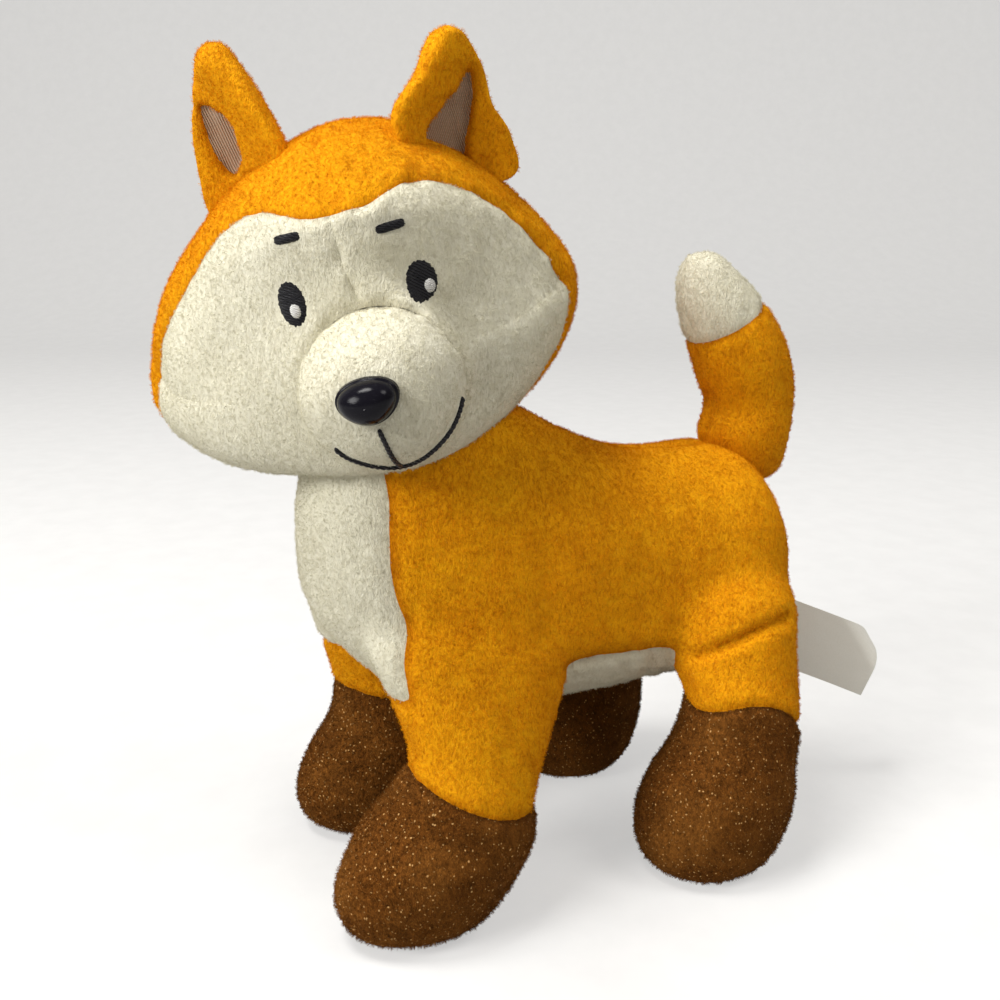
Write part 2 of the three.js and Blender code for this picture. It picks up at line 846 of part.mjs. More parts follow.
for (const { name, form } of limbs) {
  const trimmed = (geometry) => cut(geometry, [torsoOuter]);
  const isLeg = (row) => row < cuffRow;
  addPiece(fox, `${name}_leg_filling`, trimmed(form.inset(fillDepth).skin()), fibreFill);
  addPiece(fox, `${name}_leg`, trimmed(form.panel(form.cells(isLeg))), orangePlush);
  addPiece(fox, `${name}_paw`, form.panel(form.cells((row) => !isLeg(row))), brownPlush);
}

const isTailBase = (row) => row < tailSeamRow;
addPiece(fox, 'tail_filling', tail.inset(fillDepth).skin(), fibreFill);
addPiece(fox, 'tail', tail.panel(tail.cells(isTailBase)), orangePlush);
addPiece(fox, 'tail_tip', tail.panel(tail.cells((row) => !isTailBase(row))), whitePlush);

fox.add(headGroup);
const headPanel = (wanted) => cut(head.panel(head.cells(wanted)), neckTools);
const isMuzzle = (row) => row < muzzleSeamRow;
const isFace = (row) => !isMuzzle(row) && row < faceSeamRow;
addPiece(
  headGroup,
  'head_filling',
  cut(head.inset(fillDepth).skin(), [...neckTools, washerPocket, shankHole]),
  fibreFill,
);
addPiece(headGroup, 'muzzle', cut(head.panel(head.cells(isMuzzle)), [shankHole]), whitePlush);
addPiece(
  headGroup,
  'left_face',
  headPanel((row, side) => isFace(row) && side < headSides / 2),
  whitePlush,
);
addPiece(
  headGroup,
  'right_face',
  headPanel((row, side) => isFace(row) && side >= headSides / 2),
  whitePlush,
);
addPiece(headGroup, 'hood', headPanel((row) => row >= faceSeamRow), orangePlush);

const noseCap = cut(nose.skin(), [head.inset(-seamGap).skin()]);
const shank = peg(shankDiameter, -noseDome / 2, shankLength);
addPiece(headGroup, 'nose', join([noseCap, shank]), blackPlastic);
addPiece(headGroup, 'nose_washer', washer, clearPlastic);

for (const [name, place] of Object.entries(eyePlaces)) {
  const glintPlace = [
    place[0] + eyeWidth * glintShares[0],
    place[1] + eyeHeight * glintShares[1],
  ];
  const glint = threadPatch(glintPlace, glintWidth, glintHeight, 2);
  const glintRoom = threadPatch(glintPlace, glintWidth, glintHeight, 2, seamGap);
  const eye = threadPatch(place, eyeWidth, eyeHeight, 2);
  addPiece(headGroup, `${name}_eye`, cut(eye, [glintRoom]), blackThread);
  addPiece(headGroup, `${name}_eye_glint`, glint, whiteThread);
}
for (const [name, place] of Object.entries(browPlaces)) {
  const brow = threadPatch(place, browLength, browWidth, browFullness);
  addPiece(headGroup, `${name}_brow`, brow, blackThread);
}
addPiece(headGroup, 'mouth', join([threadLine(smile), threadLine(stem)]), blackThread);

for (const [name, side, spreadShare, lean] of [
  ['left', 1, leftEarSpreadShare, leftEarLeanAngle],
  ['right', -1, rightEarSpreadShare, rightEarLeanAngle],
]) {
  const [frame, undersides] = earSeat(side, spreadShare, lean);
  const trimmed = (geometry) => cut(geometry, undersides);
  const cloth = ear.panel(ear.cells((row, at) => !isLining(row, at)));
  const lining = ear.panel(ear.cells(isLining), liningThickness);
  addPiece(frame, `${name}_ear_filling`, trimmed(earStuffing.skin()), fibreFill);
  addPiece(frame, `${name}_ear`, trimmed(cloth), orangePlush);
  addPiece(frame, `${name}_ear_lining`, trimmed(lining), tanSatin);
  headGroup.add(frame);
}

// Label, sewn into the seam of the rump

const labelBox = new THREE.BoxGeometry(labelThickness, labelLength + labelTuck, labelWidth);
labelBox.translate(0, half(labelLength - labelTuck), 0);
labelBox.rotateX(radians(-labelDroopAngle));
labelBox.rotateZ(radians(-labelTurnAngle));
const labelFrom = point(0, bodyLength, backHeight * labelHeightShare);
const labelSeat = new THREE.Raycaster(labelFrom, yAxis.clone().negate());
const labelRoot = labelSeat.intersectObject(
  new THREE.Mesh(torso.skin(), new THREE.MeshBasicMaterial()),
)[0].point;
labelBox.applyMatrix4(new THREE.Matrix4().makeTranslation(labelRoot));
const labelTools = swept(torsoOuter, labelRoot, zAxis, labelSwingAngle);
addPiece(fox, 'label', cut(labelBox, labelTools), labelSatin);

// The origin is under the middle of the whole

const extent = new THREE.Box3().setFromObject(fox, true);
const middle = extent.getCenter(point(0, 0, 0));
fox.position.set(-middle.x, -middle.y, -extent.min.z);
fox.updateMatrixWorld(true);

export default fox;
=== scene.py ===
"""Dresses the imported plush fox: stuffed plush forms, satin, embroidery and a moulded nose.

Shapes are worked out in millimetres in the part's own frame, on the same tables as its source,
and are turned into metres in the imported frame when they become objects.
"""

import json
import logging
import math
from dataclasses import dataclass, field
from enum import Enum
from typing import Callable, Sequence

import bpy
import numpy as np
from mathutils import Matrix, Vector
from mathutils.bvhtree import BVHTree

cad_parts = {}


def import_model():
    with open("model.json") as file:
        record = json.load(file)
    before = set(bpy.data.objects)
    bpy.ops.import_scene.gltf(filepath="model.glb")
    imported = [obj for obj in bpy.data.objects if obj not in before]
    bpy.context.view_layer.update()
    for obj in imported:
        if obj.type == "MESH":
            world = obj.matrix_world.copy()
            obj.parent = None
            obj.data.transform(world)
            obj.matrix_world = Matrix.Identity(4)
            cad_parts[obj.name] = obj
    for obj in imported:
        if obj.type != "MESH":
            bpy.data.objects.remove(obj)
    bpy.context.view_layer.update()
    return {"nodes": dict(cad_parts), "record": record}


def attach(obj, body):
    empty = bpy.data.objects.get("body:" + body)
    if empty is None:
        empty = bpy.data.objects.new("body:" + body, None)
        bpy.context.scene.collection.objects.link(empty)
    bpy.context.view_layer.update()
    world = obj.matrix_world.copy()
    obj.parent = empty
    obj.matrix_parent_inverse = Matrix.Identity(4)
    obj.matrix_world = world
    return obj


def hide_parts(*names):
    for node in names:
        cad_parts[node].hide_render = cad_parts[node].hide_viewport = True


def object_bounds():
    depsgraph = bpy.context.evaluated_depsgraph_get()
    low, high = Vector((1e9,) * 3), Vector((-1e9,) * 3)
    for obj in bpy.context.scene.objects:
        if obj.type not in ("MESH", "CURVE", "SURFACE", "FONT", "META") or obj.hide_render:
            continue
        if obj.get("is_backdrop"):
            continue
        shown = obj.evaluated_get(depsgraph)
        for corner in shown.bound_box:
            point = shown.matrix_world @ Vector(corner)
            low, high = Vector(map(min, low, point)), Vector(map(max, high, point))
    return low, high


LOG = logging.getLogger("fox")
MM = 0.001
X_AXIS = np.array([1.0, 0.0, 0.0])
Y_AXIS = np.array([0.0, 1.0, 0.0])
Z_AXIS = np.array([0.0, 0.0, 1.0])
# A distance that counts as far from every seam, and the depth below a cuff that marks all but the limbs
FAR_OFF = 9.0
NO_PAW = -20.0
# How far ahead of the head's middle the rays that find the face start
RAY_START = -90.0
# What chooses the lumps of each stuffed form
BODY_SEED, MUZZLE_SEED, SKULL_SEED, EAR_SEED, TAIL_SEED = 11, 31, 41, 61, 71

Colour = tuple[float, float, float]
Place = tuple[float, float, float]
Line = Sequence[Sequence[float]]
Cover = tuple[float, float, Line]
Socket = bpy.types.NodeSocket


class Body(Enum):
    """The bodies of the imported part."""

    TORSO = "torso"
    HEAD = "head"
    LEFT_EAR = "left_ear"
    RIGHT_EAR = "right_ear"
    TAIL = "tail"
    LABEL = "label"


# Shape kernel


def bulge(value: np.ndarray, fullness: float | np.ndarray) -> np.ndarray:
    """Fills out a round section towards a square one."""
    return np.sign(value) * np.abs(value) ** (2 / fullness)


def turns(count: int) -> np.ndarray:
    """Gives equal angles round a ring."""
    return np.arange(count) * (2 * math.pi / count)


def unit(vectors: np.ndarray) -> np.ndarray:
    """Scales vectors to length one."""
    return vectors / np.maximum(np.linalg.norm(vectors, axis=-1, keepdims=True), 1e-9)


def rotation(axis: np.ndarray, degrees: float) -> np.ndarray:
    """Makes a rotation matrix."""
    return np.array(Matrix.Rotation(math.radians(degrees), 3, Vector(axis)))


def ripple(points: np.ndarray, size: float, seed: int) -> np.ndarray:
    """A smooth seeded wander over space, from about -1 to 1.

    Args:
        points: Where to read it, in millimetres.
        size: The width of one wave, in millimetres.
        seed: Chooses the waves.

    Returns:
        One value a point.
    """
    random = np.random.default_rng(seed)
    total = np.zeros(len(points))
    for _ in range(9):
        direction = unit(random.normal(size=3))
        pitch = size * random.uniform(0.7, 1.5)
        total += np.sin(points @ direction * (2 * math.pi / pitch) + random.uniform(0, 6.3))
    return total / 3


@dataclass
class Shell:
    """A mesh in millimetres with named values at its points.

    Args:
        points: Positions, one row a point.
        faces: Corner numbers, three or four a row.
        values: Named numbers, one a point.
    """

    points: np.ndarray
    faces: np.ndarray
    values: dict[str, np.ndarray] = field(default_factory=dict)

    def triangles(self) -> "Shell":
        """Cuts four-cornered faces in two.

        Returns:
            A shell of triangles on the same points.
        """
        if self.faces.shape[1] == 3:
            return self
        quads = self.faces
        halves = np.concatenate([quads[:, [0, 1, 2]], quads[:, [0, 2, 3]]])
        whole = (halves != np.roll(halves, 1, axis=1)).all(1)
        return Shell(self.points, halves[whole], self.values)

    def triangle_corners(self) -> list[np.ndarray]:
        """Gives the places of the triangles' first, second and third corners."""
        return [self.points[self.faces[:, k]] for k in range(3)]

    def edges(self) -> np.ndarray:
        """Lists the edges, each once.

        Returns:
            Pairs of point numbers.
        """
        rolled = np.roll(self.faces, -1, axis=1)
        pairs = np.stack([self.faces.ravel(), rolled.ravel()], 1)
        pairs = pairs[pairs[:, 0] != pairs[:, 1]]
        return np.unique(np.sort(pairs, axis=1), axis=0)

    def normals(self) -> np.ndarray:
        """Averages the face normals at each point.

        Returns:
            One unit vector a point.
        """
        flat = self.triangles()
        a, b, c = flat.triangle_corners()
        crosses = np.cross(b - a, c - a)
        total = np.zeros_like(self.points)
        for k in range(3):
            np.add.at(total, flat.faces[:, k], crosses)
        return unit(total)

    def averaged(self, what: np.ndarray, rounds: int, share: float | np.ndarray) -> np.ndarray:
        """Draws values towards the mean of their neighbours.

        Args:
            what: Values or positions, one row a point.
            rounds: How many times.
            share: How far towards the mean, for all or for each point.

        Returns:
            The drawn values.
        """
        edges = self.edges()
        both = np.concatenate([edges, edges[:, ::-1]])
        counts = np.bincount(both[:, 0], minlength=len(self.points))
        columns = what.reshape(len(self.points), -1).astype(float)
        share = np.asarray(share, float).reshape(-1, 1)
        for _ in range(rounds):
            beside = [np.bincount(both[:, 0], column[both[:, 1]], len(self.points)) for column in columns.T]
            means = np.stack(beside, 1) / np.maximum(counts, 1)[:, None]
            means = np.where(counts[:, None] > 0, means, columns)
            columns = columns + (means - columns) * share
        return columns.reshape(what.shape)

    def pushed(self, distance: np.ndarray) -> "Shell":
        """Moves points along their normals."""
        return Shell(self.points + self.normals() * distance[:, None], self.faces, self.values)

    def outward(self) -> "Shell":
        """Turns the faces to look out.

        Returns:
            The same shell, facing out.
        """
        flat = self.triangles()
        a, b, c = (corner - flat.points.mean(0) for corner in flat.triangle_corners())
        volume = (np.cross(a, b) * c).sum()
        return self if volume > 0 else Shell(self.points, self.faces[:, ::-1], self.values)

    def placed(self, turn: np.ndarray, at: np.ndarray) -> "Shell":
        """Turns and moves the shell."""
        return Shell(self.points @ turn.T + at, self.faces, self.values)

    def kept(self, wanted: np.ndarray) -> "Shell":
        """Keeps some faces and the points they use.

        Args:
            wanted: One flag a face.

        Returns:
            The smaller shell.
        """
        faces = self.faces[wanted]
        used, numbers = np.unique(faces, return_inverse=True)
        values = {name: value[used] for name, value in self.values.items()}
        return Shell(self.points[used], numbers.reshape(faces.shape), values)

    def split(self, name: str) -> tuple["Shell", "Shell"]:
        """Cuts the shell along the line where a named value is zero.

        Args:
            name: The value to cut by.

        Returns:
            The part where it is above zero, and the part where it is below.
        """
        flat = self.triangles()
        level = flat.values[name]
        above = level > 0
        count = above[flat.faces].sum(1)
        mixed = flat.faces[(count == 1) | (count == 2)]
        lone_sign = above[mixed].sum(1) == 1
        lone = np.argmax(above[mixed] == lone_sign[:, None], axis=1)
        turned = np.stack([mixed[np.arange(len(mixed)), (lone + k) % 3] for k in range(3)], 1)
        pairs = np.sort(np.concatenate([turned[:, [0, 1]], turned[:, [0, 2]]]), axis=1)
        edges, numbers = np.unique(pairs, axis=0, return_inverse=True)
        low, high = edges[:, 0], edges[:, 1]
        share = level[low] / (level[low] - level[high])
        met = flat.points[low] + (flat.points[high] - flat.points[low]) * share[:, None]
        values = {
            key: np.concatenate([value, value[low] + (value[high] - value[low]) * share])
            for key, value in flat.values.items()
        }
        first, second = np.split(numbers.reshape(-1) + len(flat.points), 2)
        tips = np.stack([turned[:, 0], first, second], 1)
        near = np.stack([first, turned[:, 1], turned[:, 2]], 1)
        far = np.stack([first, turned[:, 2], second], 1)
        whole = (count == 0) | (count == 3)
        faces = np.concatenate([flat.faces[whole], tips, near, far])
        is_above = np.concatenate([(count == 3)[whole], lone_sign, ~lone_sign, ~lone_sign])
        done = Shell(np.concatenate([flat.points, met]), faces, values)
        return done.kept(is_above), done.kept(~is_above)


def loft(rings: Sequence[np.ndarray], step: float) -> tuple[np.ndarray, list[int]]:
    """Runs a smooth surface through rings of points.

    Args:
        rings: The rings, each with the same number of points.
        step: About how far apart the new rings lie.

    Returns:
        The new rings stacked, and the place of each given ring among them.
    """
    knots = np.stack(rings)
    gaps = np.maximum(np.linalg.norm(np.diff(knots, axis=0), axis=2).mean(1), 1e-6)
    spans = np.sqrt(gaps)
    slopes = np.diff(knots, axis=0) / spans[:, None, None]
    tangents = np.zeros_like(knots)
    tangents[0], tangents[-1] = slopes[0], slopes[-1]
    before, after = spans[:-1, None, None], spans[1:, None, None]
    tangents[1:-1] = (slopes[1:] * before + slopes[:-1] * after) / (before + after)
    rows = []
    marks = []
    for at, span in enumerate(spans):
        marks.append(len(rows))
        for share in np.arange(count := max(int(gaps[at] / step), 1)) / count:
            square, cube = share * share, share**3
            rows.append(
                knots[at] * (2 * cube - 3 * square + 1)
                + tangents[at] * span * (cube - 2 * square + share)
                + knots[at + 1] * (3 * square - 2 * cube)
                + tangents[at + 1] * span * (cube - square)
            )
    marks.append(len(rows))
    rows.append(knots[-1])
    return np.stack(rows), marks


def grid_shell(grid: np.ndarray, closed: bool = True, flip: bool = False) -> Shell:
    """Joins a grid of points into a shell.

    Args:
        grid: Rows of points.
        closed: Whether each row is a ring.
        flip: Whether to turn the faces round.

    Returns:
        The shell, with its row and side numbers as values.
    """
    rows, sides = grid.shape[:2]
    last = sides if closed else sides - 1
    row, side = np.meshgrid(np.arange(rows - 1), np.arange(last), indexing="ij")
    right = (side + 1) % sides
    low, high = row * sides, (row + 1) * sides
    faces = np.stack([low + side, low + right, high + right, high + side], -1).reshape(-1, 4)
    if flip:
        faces = faces[:, ::-1]
    row, side = np.meshgrid(np.arange(rows), np.arange(sides), indexing="ij")
    values = {"row": row.ravel().astype(float), "side": side.ravel().astype(float)}
    return Shell(grid.reshape(-1, 3), faces, values)


def stacked(shells: Sequence[Shell]) -> Shell:
    """Lays shells together as one.

    Args:
        shells: Shells with the same number of corners a face.

    Returns:
        All their points and faces, without their values.
    """
    starts = np.cumsum([0, *[len(shell.points) for shell in shells[:-1]]])
    faces = [shell.faces + start for shell, start in zip(shells, starts)]
    return Shell(np.concatenate([shell.points for shell in shells]), np.concatenate(faces))


def pole(spot: Sequence[float], sides: int) -> np.ndarray:
    """Repeats one point as a closed-up ring."""
    return np.tile(np.array(spot, float), (sides, 1))


class Surface:
    """Reads values and nearness off a shell."""

    def __init__(self, shell: Shell) -> None:
        """Prepares the shell."""
        self.shell = shell.triangles()
        self.tree = BVHTree.FromPolygons(self.shell.points.tolist(), self.shell.faces.tolist())

    def blended(self, places: np.ndarray, faces: np.ndarray, what: np.ndarray) -> np.ndarray:
        """Mixes point values at places on faces.

        Args:
            places: Places on the surface.
            faces: The face of each place.
            what: Values at the shell's points.

        Returns:
            One value a place.
        """
        corners = self.shell.faces[faces]
        a, b, c = (self.shell.points[corners[:, k]] for k in range(3))
        normal = np.cross(b - a, c - a)
        area = np.maximum((normal * normal).sum(1), 1e-12)
        weight_b = (np.cross(places - a, c - a) * normal).sum(1) / area
        weight_c = (np.cross(b - a, places - a) * normal).sum(1) / area
        weights = np.clip(np.stack([1 - weight_b - weight_c, weight_b, weight_c], 1), 0, 1)
        return (what[corners] * weights).sum(1) / weights.sum(1)

    def nearest(self, points: np.ndarray) -> tuple[np.ndarray, np.ndarray, np.ndarray]:
        """Finds the nearest place on the surface.

        Args:
            points: Where to look from.

        Returns:
            The places, their faces, and the distances, below zero inside.
        """
        places = np.empty_like(points)
        faces = np.empty(len(points), int)
        depths = np.empty(len(points))
        for at, point in enumerate(points):
            place, normal, face, distance = self.tree.find_nearest(point)
            places[at] = place
            faces[at] = face
            depths[at] = math.copysign(distance, (Vector(point) - place).dot(normal))
        return places, faces, depths

    def cast(self, origins: np.ndarray, direction: np.ndarray) -> tuple[np.ndarray, np.ndarray]:
        """Casts parallel rays onto the surface.

        Args:
            origins: Where the rays start.
            direction: Where they all head.

        Returns:
            The places that they meet, and the smooth normals there.
        """
        normals = self.shell.normals()
        places = np.empty_like(origins)
        faces = np.empty(len(origins), int)
        for at, origin in enumerate(origins):
            place, _, face, _ = self.tree.ray_cast(Vector(origin), Vector(direction))
            places[at], faces[at] = place, face
        smooth = np.stack([self.blended(places, faces, normals[:, k]) for k in range(3)], 1)
        return places, unit(smooth)


def hollow(distance: np.ndarray, width: float) -> np.ndarray:
    """A soft groove's profile."""
    return np.exp(-((distance / width) ** 2))


def segment_distance(points: np.ndarray, start: np.ndarray, end: np.ndarray) -> np.ndarray:
    """Measures the distance to a straight line between two places.

    Args:
        points: Where from.
        start: The line's start.
        end: Its end.

    Returns:
        One distance a point.
    """
    along = end - start
    share = np.clip((points - start) @ along / max(along @ along, 1e-9), 0, 1)
    return np.linalg.norm(points - start - share[:, None] * along, axis=1)


def line_distance(points: np.ndarray, line: Line) -> np.ndarray:
    """Measures the distance to a bent line."""
    spots = np.array(line, float)
    return np.min([segment_distance(points, *ends) for ends in zip(spots[:-1], spots[1:])], axis=0)


def outline_depth(spots: np.ndarray, outline: np.ndarray) -> np.ndarray:
    """Measures how far flat points lie inside a closed outline.

    Args:
        spots: The points, two numbers each.
        outline: The outline's corners in order.

    Returns:
        The distances, below zero outside.
    """
    nearest = line_distance(spots, [*outline, outline[0]])
    inside = np.zeros(len(spots), bool)
    for start, end in zip(outline, np.roll(outline, -1, axis=0)):
        along = end - start
        crosses = (start[1] > spots[:, 1]) != (end[1] > spots[:, 1])
        reach = start[0] + (spots[:, 1] - start[1]) * along[0] / (along[1] if along[1] else 1e-9)
        inside ^= crosses & (spots[:, 0] < reach)
    return np.where(inside, nearest, -nearest)


# Shader node groups


class Nodes:
    """Writes one node tree."""

    def __init__(self, tree: bpy.types.NodeTree) -> None:
        """Starts on a tree."""
        self.tree = tree
        self.count = 0

    def add(self, kind: str, settings: dict | None = None, **inputs: object) -> bpy.types.Node:
        """Adds a node, sets it and links it.

        Args:
            kind: Its type name.
            settings: Properties of the node itself.
            **inputs: Values or sockets, by input name or by in_ and a number.

        Returns:
            The node.
        """
        node = self.tree.nodes.new(kind)
        node.location = (190 * (self.count % 12), -260 * (self.count // 12))
        self.count += 1
        for name, value in (settings or {}).items():
            setattr(node, name, value)
        for name, value in inputs.items():
            key = int(name[3:]) if name.startswith("in_") else name.replace("_", " ")
            if isinstance(value, Socket):
                self.tree.links.new(value, node.inputs[key])
            else:
                node.inputs[key].default_value = value
        return node

    def math(self, operation: str, *values: object) -> Socket:
        """Adds a sum on numbers."""
        inputs = {f"in_{at}": value for at, value in enumerate(values)}
        return self.add("ShaderNodeMath", {"operation": operation}, **inputs).outputs[0]

    def mix(self, share: object, first: object, second: object) -> Socket:
        """Adds a mix of two colours."""
        node = self.add("ShaderNodeMix", {"data_type": "RGBA"}, in_0=share, in_6=first, in_7=second)
        return node.outputs[2]

    def tinted(self, colour: object, mask: object, strength: float, tint: object) -> Socket:
        """Mixes a second colour in where a mask is high."""
        return self.mix(self.math("MULTIPLY", mask, strength), colour, tint)

    def range(self, value: object, low: float, high: float, start: float, end: float) -> Socket:
        """Adds a clamped smooth change of range.

        Args:
            value: The number or socket to change.
            low: Where it starts.
            high: Where it ends.
            start: The result at the start.
            end: The result at the end.

        Returns:
            The result's socket.
        """
        settings = {"interpolation_type": "SMOOTHSTEP"}
        inputs = {"in_0": value, "in_1": low, "in_2": high, "in_3": start, "in_4": end}
        return self.add("ShaderNodeMapRange", settings, **inputs).outputs[0]

    def noise(self, where: object, scale: float, detail: float, rough: float) -> Socket:
        """Adds a cloudy pattern."""
        node = self.add("ShaderNodeTexNoise", Vector=where, Scale=scale, Detail=detail, Roughness=rough)
        return node.outputs[0]


@dataclass(frozen=True)
class Pattern:
    """A shared shader group that gives a colour and a relief.

    Args:
        name: Its name.
        inputs: The kinds of the sockets going in, by name.
        outputs: The kinds of the sockets coming out, by name.
        draw: Writes its nodes, and gives the sockets for the outputs.
    """

    name: str
    inputs: dict[str, str]
    outputs: dict[str, str]
    draw: Callable[[Nodes, Sequence[Socket]], list[Socket]]

    def tree(self) -> bpy.types.NodeTree:
        """Makes the group, once.

        Returns:
            The group.
        """
        if self.name in bpy.data.node_groups:
            return bpy.data.node_groups[self.name]
        tree = bpy.data.node_groups.new(self.name, "ShaderNodeTree")
        for way, sockets in (("INPUT", self.inputs), ("OUTPUT", self.outputs)):
            for label, kind in sockets.items():
                tree.interface.new_socket(name=label, in_out=way, socket_type=f"NodeSocket{kind}")
        nodes = Nodes(tree)
        given = nodes.add("NodeGroupInput").outputs
        results = self.draw(nodes, [given[label] for label in self.inputs])
        nodes.add("NodeGroupOutput", **dict(zip(self.outputs, results)))
        return tree


def draw_pile(nodes: Nodes, given: Sequence[Socket]) -> list[Socket]:
    """Draws a short cut pile, with painted shade between its tufts, in soft patches and along seams, and
    painted highlights, sheen and sparkles on its fibres.

    Args:
        nodes: Writes the group.
        given: The sockets going in.

    Returns:
        The sockets for its colour and its normal.
    """
    base, root, tip, sparkle, share = given
    where = nodes.add("ShaderNodeTexCoord").outputs["Object"]
    bend = nodes.add("ShaderNodeTexNoise", Vector=where, Scale=260.0, Detail=2.0).outputs["Color"]
    swirl = nodes.add(
        "ShaderNodeVectorMath", {"operation": "MULTIPLY_ADD"}, in_0=bend, in_1=(0.0018,) * 3, in_2=where
    ).outputs[0]
    long_ways = nodes.add("ShaderNodeMapping", Vector=swirl, Scale=(1.0, 1.0, 0.45)).outputs[0]
    tufts = nodes.noise(long_ways, 1800.0, 3.0, 0.62)
    fibres = nodes.noise(long_ways, 4800.0, 2.0, 0.6)
    brushed_sheen = nodes.noise(where, 55.0, 3.0, 0.55)
    shading = nodes.noise(where, 210.0, 3.0, 0.5)
    # Painted shade down between the tufts, in the shade colour where the tufts are low
    colour = nodes.tinted(base, nodes.range(tufts, 0.3, 0.56, 1.0, 0.0), 0.55, root)
    # Painted highlights on the fibres' tips
    colour = nodes.tinted(colour, nodes.range(fibres, 0.5, 0.75, 0.0, 1.0), 0.5, tip)
    # Painted sheen in broad patches where the brushed nap catches the light
    colour = nodes.tinted(colour, nodes.range(brushed_sheen, 0.35, 0.7, 0.0, 1.0), 0.22, tip)
    # Painted shade in soft patches
    colour = nodes.tinted(colour, nodes.range(shading, 0.3, 0.52, 1.0, 0.0), 0.2, root)
    # Painted sparkles where single fibres catch the light
    sparkle_spots = nodes.add("ShaderNodeTexVoronoi", Vector=swirl, Scale=900.0).outputs["Distance"]
    colour = nodes.tinted(colour, nodes.range(sparkle_spots, 0.1, 0.22, 1.0, 0.0), share, sparkle)
    # Painted shade along the seams' grooves, in the shade colour
    seam = nodes.add("ShaderNodeAttribute", {"attribute_name": "seam"}).outputs["Fac"]
    colour = nodes.tinted(colour, seam, 0.6, root)
    relief = nodes.math("ADD", tufts, nodes.math("MULTIPLY", fibres, 0.4))
    bump = nodes.add("ShaderNodeBump", Strength=0.6, Distance=0.0009, Height=relief)
    return [colour, bump.outputs[0]]


def draw_threads(nodes: Nodes, given: Sequence[Socket]) -> list[Socket]:
    """Draws close parallel threads, with painted shade in the grooves between them and between their fibres.

    Args:
        nodes: Writes the group.
        given: The sockets going in.

    Returns:
        The sockets for their colour and their normal.
    """
    base, groove_shade, turn, pitch, depth = given
    where = nodes.add("ShaderNodeTexCoord").outputs["Object"]
    spun = nodes.add("ShaderNodeMapping", Vector=where, Rotation=turn).outputs[0]
    bands = {"bands_direction": "Z", "wave_profile": "SIN"}
    unevenness = {"Distortion": 0.35, "Detail": 2.0, "Detail_Scale": 2.0}
    wave = nodes.add("ShaderNodeTexWave", bands, Vector=spun, Scale=pitch, **unevenness).outputs["Fac"]
    threads = nodes.noise(spun, 2600.0, 2.0, 0.5)
    # Painted shade in the grooves between the threads, and finer between their fibres
    colour = nodes.tinted(base, nodes.range(wave, 0.05, 0.6, 1.0, 0.0), 0.75, groove_shade)
    colour = nodes.tinted(colour, nodes.range(threads, 0.3, 0.6, 1.0, 0.0), 0.25, groove_shade)
    relief = nodes.math("ADD", wave, nodes.math("MULTIPLY", threads, 0.35))
    bump = nodes.add("ShaderNodeBump", Strength=depth, Distance=0.0005, Height=relief)
    return [colour, bump.outputs[0]]


def draw_scuffs(nodes: Nodes, given: Sequence[Socket]) -> list[Socket]:
    """Draws fine scuffs and swirls on moulded plastic.

    Args:
        nodes: Writes the group.
        given: The sockets going in.

    Returns:
        The sockets for its colour, its roughness and its normal.
    """
    base, worn = given
    where = nodes.add("ShaderNodeTexCoord").outputs["Object"]
    streaks = nodes.add("ShaderNodeMapping", Vector=where, Scale=(1.0, 1.0, 6.0)).outputs[0]
    haze = nodes.noise(where, 240.0, 4.0, 0.6)
    lines = nodes.noise(streaks, 1500.0, 4.0, 0.7)
    rubbed = nodes.range(lines, 0.58, 0.72, 0.0, 1.0)
    colour = nodes.tinted(base, rubbed, 0.35, worn)
    rough = nodes.math("ADD", nodes.range(haze, 0.3, 0.8, 0.1, 0.2), nodes.math("MULTIPLY", rubbed, 0.1))
    bump = nodes.add("ShaderNodeBump", Strength=0.08, Distance=0.0002, Height=lines)
    return [colour, rough, bump.outputs[0]]


RELIEF = {"Color": "Color", "Normal": "Vector"}
PILE = Pattern(
    "short_pile",
    {"Base": "Color", "Root": "Color", "Tip": "Color", "Fleck": "Color", "Flecks": "Float"},
    RELIEF,
    draw_pile,
)
THREADS = Pattern(
    "close_threads",
    {"Base": "Color", "Dark": "Color", "Turn": "Vector", "Pitch": "Float", "Depth": "Float"},
    RELIEF,
    draw_threads,
)
SCUFFS = Pattern(
    "moulded_scuffs",
    {"Base": "Color", "Worn": "Color"},
    {"Color": "Color", "Roughness": "Float", "Normal": "Vector"},
    draw_scuffs,
)


def opaque(colour: Colour) -> tuple[float, float, float, float]:
    """Adds full cover to a colour."""
    return (*colour, 1.0)


def empty_material(name: str) -> tuple[bpy.types.Material, Nodes]:
    """Makes a material without nodes.

    Args:
        name: Its name.

    Returns:
        The material, and what writes its nodes.
    """
    made = bpy.data.materials.new(name)
    made.use_nodes = True
    made.node_tree.nodes.clear()
    return made, Nodes(made.node_tree)


@dataclass(frozen=True)
class Finish:
    """What a piece is made of.

    Args:
        name: The material's name.
        slot: The record's slot for it. Not used.
        base: Its main colour.
    """

    name: str
    slot: str
    base: Colour

    def look(self) -> tuple[Pattern, dict[str, object], dict[str, object]]:
        """Gives its pattern, what goes into that, and what the surface shader is set to."""
        raise NotImplementedError

    def material(self) -> bpy.types.Material:
        """Makes the material, once.

        Returns:
            The material.
        """
        if self.name in bpy.data.materials:
            return bpy.data.materials[self.name]
        made, nodes = empty_material(self.name)
        pattern, drawing, surface = self.look()
        drawn = nodes.add("ShaderNodeGroup", {"node_tree": pattern.tree()}, **drawing).outputs
        linked = {name.replace("Color", "Base_Color"): drawn[name] for name in pattern.outputs}
        skin = nodes.add("ShaderNodeBsdfPrincipled", **linked, **surface)
        nodes.add("ShaderNodeOutputMaterial", Surface=skin.outputs[0])
        return made


